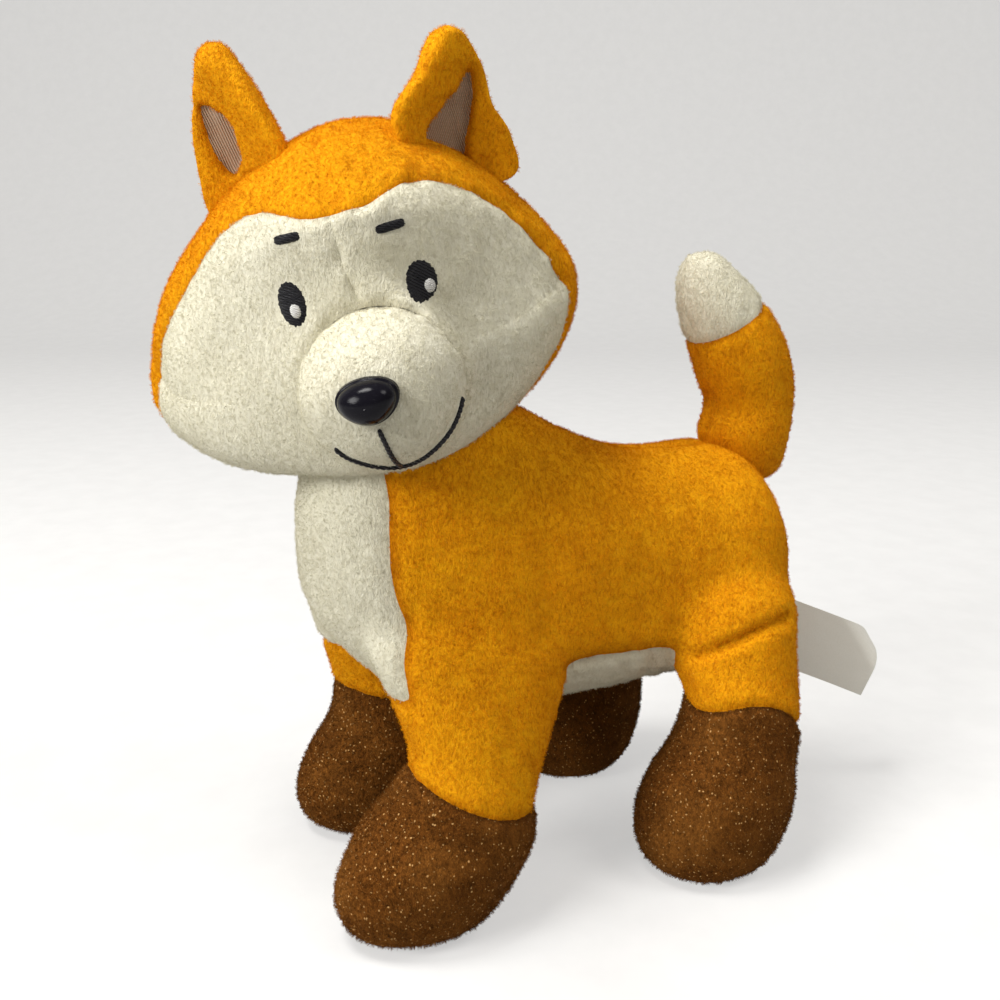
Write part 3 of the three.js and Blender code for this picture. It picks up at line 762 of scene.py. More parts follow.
@dataclass(frozen=True)
class PlushFinish(Finish):
    """A short cut pile.

    Args:
        root: Its painted shade colour, down between the fibres, in soft patches and along seams.
        tip: Its painted highlight colour, where fibre tips and the brushed nap catch the light.
        sparkle: The colour of painted sparkles, where single fibres catch the light.
        sparkles: How strongly those painted sparkles show.
        sheen: How much light its fibres scatter at a glancing angle.
        pile: How far its fibres stand out, in millimetres.
        fibre: How thick they are, in millimetres.
    """

    root: Colour
    tip: Colour
    sparkle: Colour
    sparkles: float
    sheen: float
    pile: float
    fibre: float

    def look(self) -> tuple[Pattern, dict[str, object], dict[str, object]]:
        """Gives the pile's pattern and surface.

        Returns:
            The pattern, what goes into it, and what the surface shader is set to.
        """
        colours = {"Base": self.base, "Root": self.root, "Tip": self.tip, "Fleck": self.sparkle}
        drawing = {name: opaque(colour) for name, colour in colours.items()} | {"Flecks": self.sparkles}
        sheen = {"Sheen_Weight": self.sheen, "Sheen_Roughness": 0.45, "Sheen_Tint": opaque(self.tip)}
        return PILE, drawing, {"Roughness": 0.9, "Specular_IOR_Level": 0.06} | sheen


@dataclass(frozen=True)
class ThreadFinish(Finish):
    """Close parallel threads: satin cloth, tape or embroidery.

    Args:
        groove_shade: Its painted shade colour in the grooves between the threads.
        turn: How its coordinates are turned, in degrees.
        pitch: Waves for each metre, over ten.
        depth: How strong its relief is.
        roughness: How matt it is.
        anisotropy: How drawn out its highlights are.
        sheen: How much light it scatters at a glancing angle.
        gloss: How strongly it mirrors.
    """

    groove_shade: Colour
    turn: tuple[float, float, float]
    pitch: float
    depth: float
    roughness: float
    anisotropy: float
    sheen: float = 0.12
    gloss: float = 0.45

    def look(self) -> tuple[Pattern, dict[str, object], dict[str, object]]:
        """Gives the threads' pattern and surface.

        Returns:
            The pattern, what goes into it, and what the surface shader is set to.
        """
        turn = tuple(math.radians(angle) for angle in self.turn)
        colours = {"Base": opaque(self.base), "Dark": opaque(self.groove_shade)}
        surface = {"Roughness": self.roughness, "Anisotropic": self.anisotropy}
        gloss = {"Specular_IOR_Level": self.gloss, "Sheen_Weight": self.sheen}
        return THREADS, colours | {"Turn": turn, "Pitch": self.pitch, "Depth": self.depth}, surface | gloss


@dataclass(frozen=True)
class PlasticFinish(Finish):
    """Moulded plastic.

    Args:
        worn: Its colour where it is rubbed.
    """

    worn: Colour

    def look(self) -> tuple[Pattern, dict[str, object], dict[str, object]]:
        """Gives the scuffed pattern and the smooth surface."""
        colours = {"Base": opaque(self.base), "Worn": opaque(self.worn)}
        return SCUFFS, colours, {"IOR": 1.45, "Specular_IOR_Level": 0.13}


# Each pile: main colour, painted shade colour, painted highlight colour, painted sparkle colour, sparkle
# strength, sheen, pile height and fibre width
ORANGE = PlushFinish(
    "orange_plush_pile", "orange_plush",
    (0.8, 0.325, 0.004), (0.42, 0.09, 0.001), (0.95, 0.52, 0.008), (0.98, 0.65, 0.07),
    0.12, 0.06, 0.28, 0.031,
)
WHITE = PlushFinish(
    "white_plush_pile", "white_plush",
    (0.77, 0.74, 0.585), (0.6, 0.555, 0.41), (0.85, 0.83, 0.7), (0.9, 0.885, 0.8),
    0.12, 0.12, 0.25, 0.03,
)
BROWN = PlushFinish(
    "brown_plush_pile", "brown_plush",
    (0.135, 0.044, 0.006), (0.016, 0.0045, 0.001), (0.46, 0.19, 0.035), (0.75, 0.45, 0.17),
    0.9, 0.2, 0.36, 0.042,
)
# Each thread finish: main colour, painted shade colour for the grooves between its threads, then turn, pitch,
# relief, roughness, anisotropy, sheen and gloss
TAN_SATIN = ThreadFinish(
    "tan_ribbed_satin", "tan_satin", (0.6, 0.41, 0.27), (0.3, 0.18, 0.1), (66, 0, 0), 780, 0.9, 0.42, 0.5
)
BLACK_THREAD = ThreadFinish(
    "black_embroidery", "black_thread", (0.007, 0.0065, 0.011), (0.0008, 0.0008, 0.0015),
    (25, 0, 0), 620, 0.9, 0.5, 0.3, 0.0, 0.35,
)
WHITE_THREAD = ThreadFinish(
    "white_embroidery", "white_thread", (0.92, 0.91, 0.88), (0.55, 0.54, 0.52), (25, 0, 0), 950, 0.7, 0.4, 0.5
)
LABEL_SATIN = ThreadFinish(
    "label_tape", "label_satin", (0.93, 0.915, 0.84), (0.78, 0.76, 0.67), (0, 0, 0), 1100, 0.25, 0.45, 0.3
)
BLACK_PLASTIC = PlasticFinish(
    "black_moulded_nose", "black_plastic", (0.006, 0.0055, 0.009), (0.05, 0.05, 0.055)
)
CLEAR_PLASTIC = PlasticFinish("clear_moulded_washer", "clear_plastic", (0.6, 0.6, 0.55), (0.8, 0.8, 0.76))


# Objects


# A piece's name, its surface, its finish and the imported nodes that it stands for
Part = tuple[str, Shell, Finish, Sequence[str]]
# Grown fibres on each square millimetre, how many stand beside each, and what chooses their places
NAP_PARENTS = 3.6
NAP_CHILDREN = 6
NAP_SEED = 7


@dataclass(frozen=True)
class Workshop:
    """Turns shells into named pieces of the part.

    Args:
        shift: From the part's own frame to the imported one, in millimetres.
    """

    shift: np.ndarray

    def piece(
        self,
        name: str,
        shell: Shell,
        finish: Finish,
        body: Body,
        nodes: Sequence[str],
    ) -> bpy.types.Object:
        """Makes one piece, dresses it and hands it to its body.

        Args:
            name: The piece's name.
            shell: Its surface.
            finish: What it is made of.
            body: What it moves with.
            nodes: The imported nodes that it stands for.

        Returns:
            The object.
        """
        flat = shell.triangles() if shell.faces.shape[1] == 4 and self.is_pinched(shell) else shell
        mesh = bpy.data.meshes.new(name)
        points = (flat.points + self.shift) * MM
        mesh.from_pydata(points.tolist(), [], flat.faces.tolist())
        # The seam value carries the painted shade along the seams into the pile's material
        if "seam" in flat.values:
            layer = mesh.attributes.new("seam", "FLOAT", "POINT")
            layer.data.foreach_set("value", flat.values["seam"].astype(np.float32))
        mesh.validate()
        mesh.shade_smooth()
        mesh.materials.append(finish.material())
        made = bpy.data.objects.new(name, mesh)
        bpy.context.scene.collection.objects.link(made)
        if isinstance(finish, PlushFinish):
            self.nap(made, flat, finish)
        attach(made, body.value)
        if nodes:
            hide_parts(*nodes)
        LOG.info("%s: %d faces", name, len(flat.faces))
        return made

    def pieces(self, parts: Sequence[Part], body: Body) -> list[bpy.types.Object]:
        """Makes the pieces of one body."""
        return [self.piece(name, shell, finish, body, nodes) for name, shell, finish, nodes in parts]

    @staticmethod
    def nap(made: bpy.types.Object, shell: Shell, finish: PlushFinish) -> None:
        """Grows the short fibres of the pile.

        Args:
            made: The piece.
            shell: Its surface.
            finish: Its pile.
        """
        flat = shell.triangles()
        a, b, c = flat.triangle_corners()
        area = float(np.linalg.norm(np.cross(b - a, c - a), axis=1).sum() / 2)
        change = made.modifiers.new("nap", "PARTICLE_SYSTEM")
        change.particle_system.seed = NAP_SEED
        spread = made.vertex_groups.new(name="nap")
        bare = flat.values.get("bare", np.zeros(len(flat.points)))
        for at, share in enumerate(1 - bare):
            spread.add([at], float(share), "REPLACE")
        change.particle_system.vertex_group_density = spread.name
        change.particle_system.vertex_group_length = spread.name
        pile = finish.pile * MM
        settings = {
            "type": "HAIR",
            "count": max(int(area * NAP_PARENTS), 50),
            "hair_length": pile,
            "hair_step": 2,
            "display_step": 2,
            "render_step": 2,
            "factor_random": pile * 0.45,
            "use_modifier_stack": False,
            "child_type": "INTERPOLATED",
            "rendered_child_count": NAP_CHILDREN,
            "child_percent": 1,
            "roughness_endpoint": 0.0,
            "roughness_2": pile * 0.28,
            "roughness_2_size": 0.3,
            "child_length": 1.0,
            "child_length_threshold": 0.2,
            "root_radius": 1.0,
            "tip_radius": 0.35,
            "radius_scale": finish.fibre * MM,
            "clump_factor": 0.15,
        }
        for name, value in settings.items():
            setattr(change.particle_system.settings, name, value)

    @staticmethod
    def is_pinched(shell: Shell) -> bool:
        """Tells whether any four-cornered face has two corners in one place."""
        corners = shell.points[shell.faces]
        return bool((np.linalg.norm(corners - np.roll(corners, 1, axis=1), axis=2) < 1e-6).any())


def remeshed(shells: Sequence[Shell], voxel: float) -> Shell:
    """Joins closed shells into one skin of even faces.

    Args:
        shells: Closed shells that may overlap.
        voxel: The size of the faces, in millimetres.

    Returns:
        The joined skin.
    """
    whole = stacked([shell.triangles() for shell in shells])
    mesh = bpy.data.meshes.new("joining")
    mesh.from_pydata((whole.points * MM).tolist(), [], whole.faces.tolist())
    mesh.validate()
    made = bpy.data.objects.new("joining", mesh)
    bpy.context.scene.collection.objects.link(made)
    change = made.modifiers.new("even_faces", "REMESH")
    change.mode = "VOXEL"
    change.voxel_size = voxel * MM
    change.adaptivity = 0
    result = made.evaluated_get(bpy.context.evaluated_depsgraph_get())
    seen = result.to_mesh()
    spots = np.empty(len(seen.vertices) * 3)
    seen.vertices.foreach_get("co", spots)
    rows = [tuple(face.vertices) for face in seen.polygons]
    quads = np.array([row if len(row) == 4 else (*row, row[0]) for row in rows])
    result.to_mesh_clear()
    bpy.data.objects.remove(made)
    bpy.data.meshes.remove(mesh)
    return Shell(spots.reshape(-1, 3) / MM, quads)


# Gathers beside the seams: width of one, reach from the seam, and height
GATHER_SIZE, GATHER_REACH, GATHER_HEIGHT = 4.2, 3.4, 0.22
# Two layers of lumps, each with its width and height, and how far from a seam they stay flat
LUMPS = ((26, 0.3), (9, 0.08))
LUMPS_START = 5.0
# Half widths of a seam's groove and of the painted shade line along it
GROOVE, SEAM_SHADE_LINE = 1.15, 0.55


def dressed(shell: Shell, seams: Sequence[np.ndarray], depth: float, seed: int) -> Shell:
    """Sinks seams into a stuffed skin, gathers the cloth beside them and adds soft lumps.

    Args:
        shell: The skin.
        seams: The distance from each seam, one value a point.
        depth: How deep the seams lie, in millimetres.
        seed: Chooses the lumps.

    Returns:
        The sunk skin, with how near each point is to a seam as its seam value, which the pile paints as shade
        along the seam.
    """
    distance = np.min(np.abs(np.stack(seams)), axis=0)
    gathers = ripple(shell.points, GATHER_SIZE, seed) * hollow(distance, GATHER_REACH) * GATHER_HEIGHT
    lumps = sum(ripple(shell.points, size, seed + at) * high for at, (size, high) in enumerate(LUMPS, 1))
    edge = 1 - hollow(distance, LUMPS_START)
    done = shell.pushed(gathers + lumps * edge - depth * hollow(distance, GROOVE))
    # Painted shade along the seam's groove
    done.values["seam"] = hollow(distance, SEAM_SHADE_LINE)
    return done


# Body: torso and four limbs in one stuffed skin


@dataclass(frozen=True)
class TorsoSizes:
    """The torso's sizes in millimetres, and its rows in shares of them.

    Args:
        length: Chest front to rump.
        height: Floor to the back.
        width: Flank to flank.
        fullness: How square its sections are.
        neck: Where its neck begins, along and up.
        rows: Back along and up, belly along and up, half width, half width of the white panel.
        rump: Where it closes behind, along and up.
        voxel: The size of its faces.
        step: About how far apart its rings are laid.
        sides: How many points each of them has.
        seam: How deep its seams lie.
        fill: How tightly body and limbs are stuffed. Not used.
    """

    length: float = 119
    height: float = 92
    width: float = 51
    fullness: float = 2.2
    neck: tuple[float, float] = (0.19, 1.175)
    rows: tuple[tuple[float, ...], ...] = (
        (0.27, 1.175, 0.11, 1.175, 0.42, 0.36),
        (0.365, 1.16, 0.038, 1.12, 0.77, 0.36),
        (0.437, 1.115, 0.026, 0.98, 0.84, 0.355),
        (0.49, 1.078, 0.014, 0.87, 0.88, 0.34),
        (0.54, 1.05, 0.018, 0.765, 0.93, 0.32),
        (0.59, 1.025, 0.055, 0.645, 0.98, 0.31),
        (0.64, 1.008, 0.125, 0.535, 1, 0.32),
        (0.69, 1, 0.21, 0.435, 1, 0.35),
        (0.745, 0.996, 0.42, 0.4, 0.97, 0.36),
        (0.8, 0.998, 0.65, 0.405, 0.97, 0.34),
        (0.845, 1, 0.83, 0.44, 0.98, 0.2),
        (0.865, 0.996, 0.945, 0.54, 0.86, 0.12),
        (0.876, 0.985, 0.972, 0.68, 0.7, -0.1),
        (0.886, 0.972, 0.948, 0.83, 0.45, -0.4),
    )
    rump: tuple[float, float] = (0.905, 0.925)
    voxel: float = 1.0
    step: float = 1.5
    sides: int = 120
    seam: float = 0.75
    fill: float = 0.85

    def spot(self, along: float, up: float) -> np.ndarray:
        """A place in the middle plane."""
        return np.array([0, (along - 0.5) * self.length, up * self.height])


@dataclass(frozen=True)
class LimbSizes:
    """One limb's sizes in millimetres.

    Args:
        name: Which limb it is.
        spread: From the middle plane to the paw's middle, below zero on the right.
        hip: Where its top lies along the body.
        ankle: Where its cuff lies along the body.
        cuff_height: Floor to cuff.
        paw_length: Heel to toe.
        top_length: Its length at the top.
        top_width: Its width at the top.
        cuff_line: The paw's seam: its middle height, fall towards the back, and bow.
        paw_rows: Height, place ahead, half length and half width, in shares.
        cuff_length: Its length at the cuff.
        top_height: Floor to its top.
        cuff_width: Its width at the cuff.
        cuff_slope: How much higher the cuff's ring is in front.
        paw_width: Side to side.
        leg_rows: Share of the way down, size, and share of the way to the cuff's sizes.
        step: About how far apart its rings are laid.
        sides: How many points each of them has.
    """

    name: str
    spread: float
    hip: float
    ankle: float
    cuff_height: float
    paw_length: float
    top_length: float
    top_width: float
    cuff_line: tuple[float, float, float] = (27.6, 5.0, -1.4)
    paw_rows: tuple[tuple[float, ...], ...] = (
        (0.82, 0.05, 0.36, 0.45),
        (0.58, 0.16, 0.445, 0.5),
        (0.32, 0.242, 0.455, 0.47),
        (0.11, 0.275, 0.375, 0.39),
        (0, 0.27, 0.21, 0.22),
    )
    cuff_length: float = 26
    top_height: float = 71.76
    cuff_width: float = 25
    cuff_slope: float = 10
    paw_width: float = 31.5
    leg_rows: tuple[tuple[float, ...], ...] = ((0.24, 0.88, 0.1), (0.66, 1, 0.68), (1, 1, 1))
    step: float = 1.5
    sides: int = 72

    def oval(self, centre: np.ndarray, length: float, width: float, slope: float) -> np.ndarray:
        """A sloping ring round the limb."""
        out, back = np.sin(turns(self.sides)), np.cos(turns(self.sides))
        return centre + np.stack([width / 2 * out, -length / 2 * back, slope / 2 * back], 1)

    def shell(self) -> Shell:
        """Makes the limb as one closed skin.

        Returns:
            The skin.
        """
        top = np.array([self.spread / 2, self.hip, self.top_height])
        cuff = np.array([self.spread, self.ankle, self.cuff_height])
        rings = [pole(top, self.sides)]
        for down, size, taper in self.leg_rows:
            length = self.top_length + (self.cuff_length - self.top_length) * taper
            width = self.top_width + (self.cuff_width - self.top_width) * taper
            centre = top + (cuff - top) * down
            rings.append(self.oval(centre, size * length, size * width, self.cuff_slope * taper))
        for up, ahead, length, width in self.paw_rows:
            centre = np.array([cuff[0], self.ankle - self.paw_length * ahead, self.cuff_height * up])
            across = 2 * self.paw_width * width
            rings.append(self.oval(centre, 2 * self.paw_length * length, across, self.cuff_slope * up * up))
        rings.append(pole(rings[-1].mean(0), self.sides))
        grid, _ = loft(rings, self.step)
        return grid_shell(np.maximum(grid, [-np.inf, -np.inf, 0])).outward()

    def below_cuff(self, points: np.ndarray) -> np.ndarray:
        """Measures how far points lie below the cuff's plane.

        Args:
            points: Where to measure.

        Returns:
            The distances, below zero above it.
        """
        middle, fall, bow = self.cuff_line
        back = np.clip((points[:, 1] - self.ankle) / self.cuff_length * 2, -1.3, 1.3)
        return middle - fall * back - bow * back * back - points[:, 2]


FRONT_HIP = -29.0
HIND_HIP = 34.5
HIND_CUFF = (40.5, 4.0, 6.0)
HIND_PAW = (
    (0.82, 0.04, 0.35, 0.45),
    (0.58, 0.13, 0.435, 0.5),
    (0.32, 0.185, 0.453, 0.485),
    (0.11, 0.21, 0.39, 0.42),
    (0, 0.22, 0.25, 0.26),
)
# The right front leg stands a little ahead of its paw, and its seam is higher
FAR_CUFF = (34.2, 1.5, -1.4)
FAR_PAW = (
    (0.82, 0.01, 0.375, 0.45),
    (0.58, 0.08, 0.445, 0.5),
    (0.32, 0.152, 0.46, 0.47),
    (0.11, 0.182, 0.38, 0.39),
    (0, 0.182, 0.23, 0.22),
)
LIMBS = (
    LimbSizes("left_front", 22.5, FRONT_HIP + 6.5, FRONT_HIP, 31, 42, 57, 24),
    LimbSizes("right_front", -22.5, FRONT_HIP - 3, FRONT_HIP - 1, 31, 42, 48, 24, FAR_CUFF, FAR_PAW, 30.5),
    LimbSizes("left_hind", 27.5, HIND_HIP + 2, HIND_HIP, 33.5, 37.5, 35, 30, HIND_CUFF, HIND_PAW),
    LimbSizes("right_hind", -27.5, HIND_HIP + 2, HIND_HIP - 6.5, 33.5, 37.5, 35, 30, HIND_CUFF, HIND_PAW),
)
# Heights and half widths of the white panel where it runs down over the front legs
CHEST_SEAM = (
    (49.0, 58.0, 64.0, 68.0, 72.0, 79.0, 89.0, 108.0),
    (24.6, 22.6, 20.2, 19.8, 19.8, 19.8, 19.3, 17.0),
)
# Where that run of the panel starts above the floor and ends, and where the legs' fronts lie
CHEST_FOOT = 49.5
CHEST_FLOOR = 62
CHEST_END = -28
LEG_FRONT = -34
# How far from an ankle a limb reaches along the body, and how high it and its paw reach
LIMB_REACH = 40
LIMB_TOP = 46
PAW_TOP = 24
# Above this height the back's seam shows
BACK_SEAM_FLOOR = 60
# How far from where limbs and torso meet the skin is smoothed, how often, and by how much elsewhere
BLEND_REACH, BLEND_ROUNDS, BLEND_LEAST = 6, 36, 0.08
# Each fold: its line on the left side, half width, and depth or, below zero, fullness
BODY_FOLDS = (
    (
        (
            (31.5, 44, 58), (31.7, 40.7, 57.7), (33.2, 33.7, 56.7),
            (33.1, 28.7, 54.9), (30.4, 22.8, 52.2), (26, 19, 49.5),
        ),
        1.3,
        2.2,
    ),
    (((29, 48, 66), (27, 44, 74), (25.5, 40, 80)), 5.0, 0.5),
    (((25, -12, 88), (27, -14, 74), (28, -14, 60)), 4.0, 0.7),
    (((22, 6, 53), (23.5, -8, 52), (25, -16, 50)), 2.2, 0.6),
    (((29, 40, 68), (30, 30, 66)), 9.0, -0.4),
    (((27, 28, 44), (29, 38, 46)), 6.0, -0.7),
)


@dataclass(frozen=True)
class BodyForm:
    """The stuffed body with its panels and paws.

    Args:
        sizes: The torso's sizes.
        limbs: The four limbs' sizes.
    """

    sizes: TorsoSizes = TorsoSizes()
    limbs: Sequence[LimbSizes] = LIMBS

    def torso(self) -> Shell:
        """Makes the torso as one closed skin.

        Returns:
            The skin, with the distances inside the white panel and from the seam of the back.
        """
        sizes = self.sizes
        angle = turns(sizes.sides)
        rings = []
        edges = []
        for back_along, back_up, belly_along, belly_up, width, edge in sizes.rows:
            back = sizes.spot(back_along, back_up)
            belly = sizes.spot(belly_along, belly_up)
            centre = (back + belly) / 2
            down = bulge(np.cos(angle), sizes.fullness)[:, None] * (belly - centre)
            across = bulge(np.sin(angle), sizes.fullness) * sizes.width / 2 * width
            rings.append(centre + down + across[:, None] * X_AXIS)
            edges.append(np.full((sizes.sides, 1), edge))
        ends = [pole(sizes.spot(*place), sizes.sides) for place in (sizes.neck, sizes.rump)]
        rings = [ends[0], *rings, ends[1]]
        edges = [edges[0], *edges, edges[-1]]
        grid, _ = loft([np.hstack(pair) for pair in zip(rings, edges)], sizes.step)
        shell = grid_shell(grid[:, :, :3]).outward()
        around = np.linalg.norm(grid - np.roll(grid, 1, axis=1), axis=2).sum(1, keepdims=True) / 2
        share = np.abs((angle + math.pi) % (2 * math.pi) - math.pi) / math.pi
        shell.values["panel"] = ((grid[:, :, 3] - share) * around).ravel()
        shell.values["back"] = ((1 - share) * around).ravel()
        return shell

    def skin(self) -> Shell:
        """Joins the torso and the limbs, and marks their seams.

        Returns:
            The skin with values for the panel, the paws and the side.
        """
        torso = self.torso()
        limbs = [limb.shell() for limb in self.limbs]
        whole = remeshed([torso, *limbs], self.sizes.voxel)
        ground = Surface(torso)
        places, faces, depth = ground.nearest(whole.points)
        clear = whole.averaged(depth, 6, 0.5)
        near = np.clip(1 - np.abs(clear - 1) / BLEND_REACH, BLEND_LEAST, 1)
        grounded = np.clip((whole.points[:, 2] - 1) / 3, 0, 1)
        whole.points = whole.averaged(whole.points, BLEND_ROUNDS, 0.5 * near * grounded)
        panel, back = (ground.blended(places, faces, ground.shell.values[name]) for name in ("panel", "back"))
        out, far, high = whole.points.T
        paw = np.full(len(out), NO_PAW)
        for limb in self.limbs:
            near_ankle = (out * np.sign(limb.spread) > 0) & (np.abs(far - limb.ankle) < LIMB_REACH)
            is_limb = near_ankle & (((clear > 0.3) & (high < LIMB_TOP)) | (high < PAW_TOP))
            paw = np.where(is_limb, np.maximum(paw, limb.below_cuff(whole.points)), paw)
        front = np.interp(high, *CHEST_SEAM) - np.abs(out)
        panel = np.where((far < CHEST_END) & (high > CHEST_FLOOR), front, panel)
        over_leg = np.minimum(front, np.minimum(high - CHEST_FOOT, LEG_FRONT - far))
        panel = np.maximum(np.minimum(panel, 0.9 - clear), over_leg)
        whole.values = {
            "panel": whole.averaged(panel, 10, 0.5),
            "back": back,
            "limb": clear,
            "paw": paw,
            "side": out + 1e-4,
        }
        return whole

    def build(self, shop: Workshop) -> list[bpy.types.Object]:
        """Makes the body's pieces.

        Args:
            shop: Makes the objects.

        Returns:
            The pieces.
        """
        skin = self.skin()
        values = skin.values
        on_torso = values["limb"] < 2.5
        is_back = on_torso & (skin.points[:, 2] > BACK_SEAM_FLOOR)
        seam_of_back = np.where(is_back, np.abs(values["back"]), FAR_OFF)
        join = np.where(values["panel"] > -3, np.abs(values["panel"]), FAR_OFF)
        skin = dressed(skin, [join, values["paw"], seam_of_back], self.sizes.seam, BODY_SEED)
        skin = self.creased(skin)
        floor = skin.points[:, 2]
        skin.points[:, 2] = np.where(skin.values["paw"] > 5, np.maximum(floor, 0.02), floor)
        paws, rest = skin.split("paw")
        white, orange = rest.split("panel")
        left, right = orange.split("side")
        parts = [
            ("chest_and_belly", white, WHITE, ["body_filling", "chest_and_belly_panel"]),
            ("left_side", left, ORANGE, self.side_nodes("left")),
            ("right_side", right, ORANGE, self.side_nodes("right")),
        ]
        middle = paws.points[paws.faces].mean(1)
        for limb in self.limbs:
            wanted = (middle[:, 0] * limb.spread > 0) & (middle[:, 1] * limb.hip > 0)
            parts.append((f"{limb.name}_paw_pile", paws.kept(wanted), BROWN, [f"{limb.name}_paw"]))
        return shop.pieces(parts, Body.TORSO)

    @staticmethod
    def side_nodes(side: str) -> list[str]:
        """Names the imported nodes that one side's cloth stands for."""
        limbs = [f"{side}_{end}_leg{part}" for end in ("front", "hind") for part in ("", "_filling")]
        return [f"{side}_flank", *limbs]

    @staticmethod
    def creased(skin: Shell) -> Shell:
        """Folds the cloth where the limbs meet the torso.

        Args:
            skin: The body's skin.

        Returns:
            The folded skin.
        """
        folds = np.zeros(len(skin.points))
        for line, width, depth in BODY_FOLDS:
            for side in (1, -1):
                away = line_distance(skin.points, np.array(line, float) * [side, 1, 1])
                folds -= depth * hollow(away, width)
        return skin.pushed(folds)


# Head


@dataclass(frozen=True)
class HeadSizes:
    """The head's sizes in millimetres, in its own frame, and its rows in shares of them.

    Args:
        width: Cheek to cheek.
        height: Chin to crown.
        depth: Face to nape, without the muzzle.
        skew: How far both cheeks are set over to the right.
        low_skew: How much more so below.
        cheek: How much wider it is below than above.
        squeeze: How much the left cheek is pressed in.
        face_front: From its middle to the muzzle's seam.
        muzzle_width: The muzzle's width.
        muzzle_height: The muzzle's height.
        muzzle_reach: From the muzzle's seam to its tip.
        muzzle_drop: How far the muzzle's middle lies below the head's.
        muzzle_offset: How far the muzzle's middle lies to the left.
        muzzle_rows: Place between seam and tip, and size.
        skull_rows: Top ahead and up, bottom ahead and up, width, sweep, fullness above and below.
        skull_back: Where it closes behind, ahead and up.
        place: Where its middle is in the part's frame.
        pitch: How far it nods, in degrees.
        roll: How far it leans to one side, in degrees.
        turn: How far it looks to its left, in degrees.
        step: About how far apart its rings are laid.
        sides: How many points each of them has.
        seam: How deep the skull's seams lie.
        muzzle_seam: How deep the muzzle's seams lie.
        fill: How tightly it is stuffed. Not used.
    """

    width: float = 90
    height: float = 70
    depth: float = 64
    skew: float = 5.8
    low_skew: float = 2.4
    cheek: float = 0.36
    squeeze: float = 0.035
    face_front: float = 28.8
    muzzle_width: float = 31
    muzzle_height: float = 29
    muzzle_reach: float = 16
    muzzle_drop: float = 10
    muzzle_offset: float = 1.2
    muzzle_rows: tuple[tuple[float, float], ...] = ((0.97, 0.38), (0.76, 0.7), (0.4, 0.91), (0.04, 1))
    skull_rows: tuple[tuple[float, ...], ...] = (
        (0.89, 0.34, 0.8, -0.77, 0.54, 0.16, 2, 1.6),
        (0.88, 0.48, 0.62, -0.83, 0.78, 0.33, 2.3, 1.6),
        (0.82, 0.62, 0.34, -0.885, 0.95, 0.58, 2.6, 1.6),
        (0.47, 0.87, 0, -0.9, 1, 0.38, 2.2, 1.7),
        (0, 0.99, -0.34, -0.84, 0.98, 0.2, 2.1, 2),
        (-0.44, 0.97, -0.63, -0.69, 0.85, 0.16, 2, 2.1),
        (-0.78, 0.73, -0.84, -0.46, 0.65, 0.08, 2, 2),
        (-0.97, 0.37, -1, -0.14, 0.35, 0.03, 2, 2),
    )
    skull_back: tuple[float, float] = (-1.05, 0.11)
    place: Place = (0, -38.69, 126)
    pitch: float = 8
    roll: float = -14
    turn: float = 65.5
    step: float = 0.9
    sides: int = 220
    seam: float = 0.55
    muzzle_seam: float = 0.5
    fill: float = 0.9

    def frame(self) -> tuple[np.ndarray, np.ndarray]:
        """Where the head stands."""
        turn = rotation(Z_AXIS, self.turn) @ rotation(X_AXIS, self.pitch) @ rotation(Y_AXIS, self.roll)
        return turn, np.array(self.place)

    def spot(self, ahead: float, up: float) -> np.ndarray:
        """A place in the head's middle plane."""
        return np.array([0, -self.depth / 2 * ahead, self.height / 2 * up])


# The dart between the ears
HOOD_DART = (
    (-2.2, -7, 33.5), (-1.9, -9.2, 32.7), (-0.8, -16.1, 29.3), (0.3, -20.9, 26.0), (1.3, -24.9, 22.7),
)
# Angles from the top towards the left, and how far the hood's edge lies behind its plain ring there
HOOD_RISE = (
    (
        -2.2, -1.6, -1.34, -1.11, -0.91, -0.71, -0.43, -0.27, -0.1, 0.0,
        0.11, 0.29, 0.44, 0.6, 0.77, 0.91, 1.03, 1.4, 2.2,
    ),
    (0.5, 1.0, 2.6, 4.8, 5.0, 4.4, 3.4, 1.2, -1.8, -2.2, -0.2, 3.0, 4.7, 5.4, 4.9, 2.8, 0.8, 1.2, 2.5),
)
# How many rows to each side slide with the hood's edge
HOOD_REACH = 20


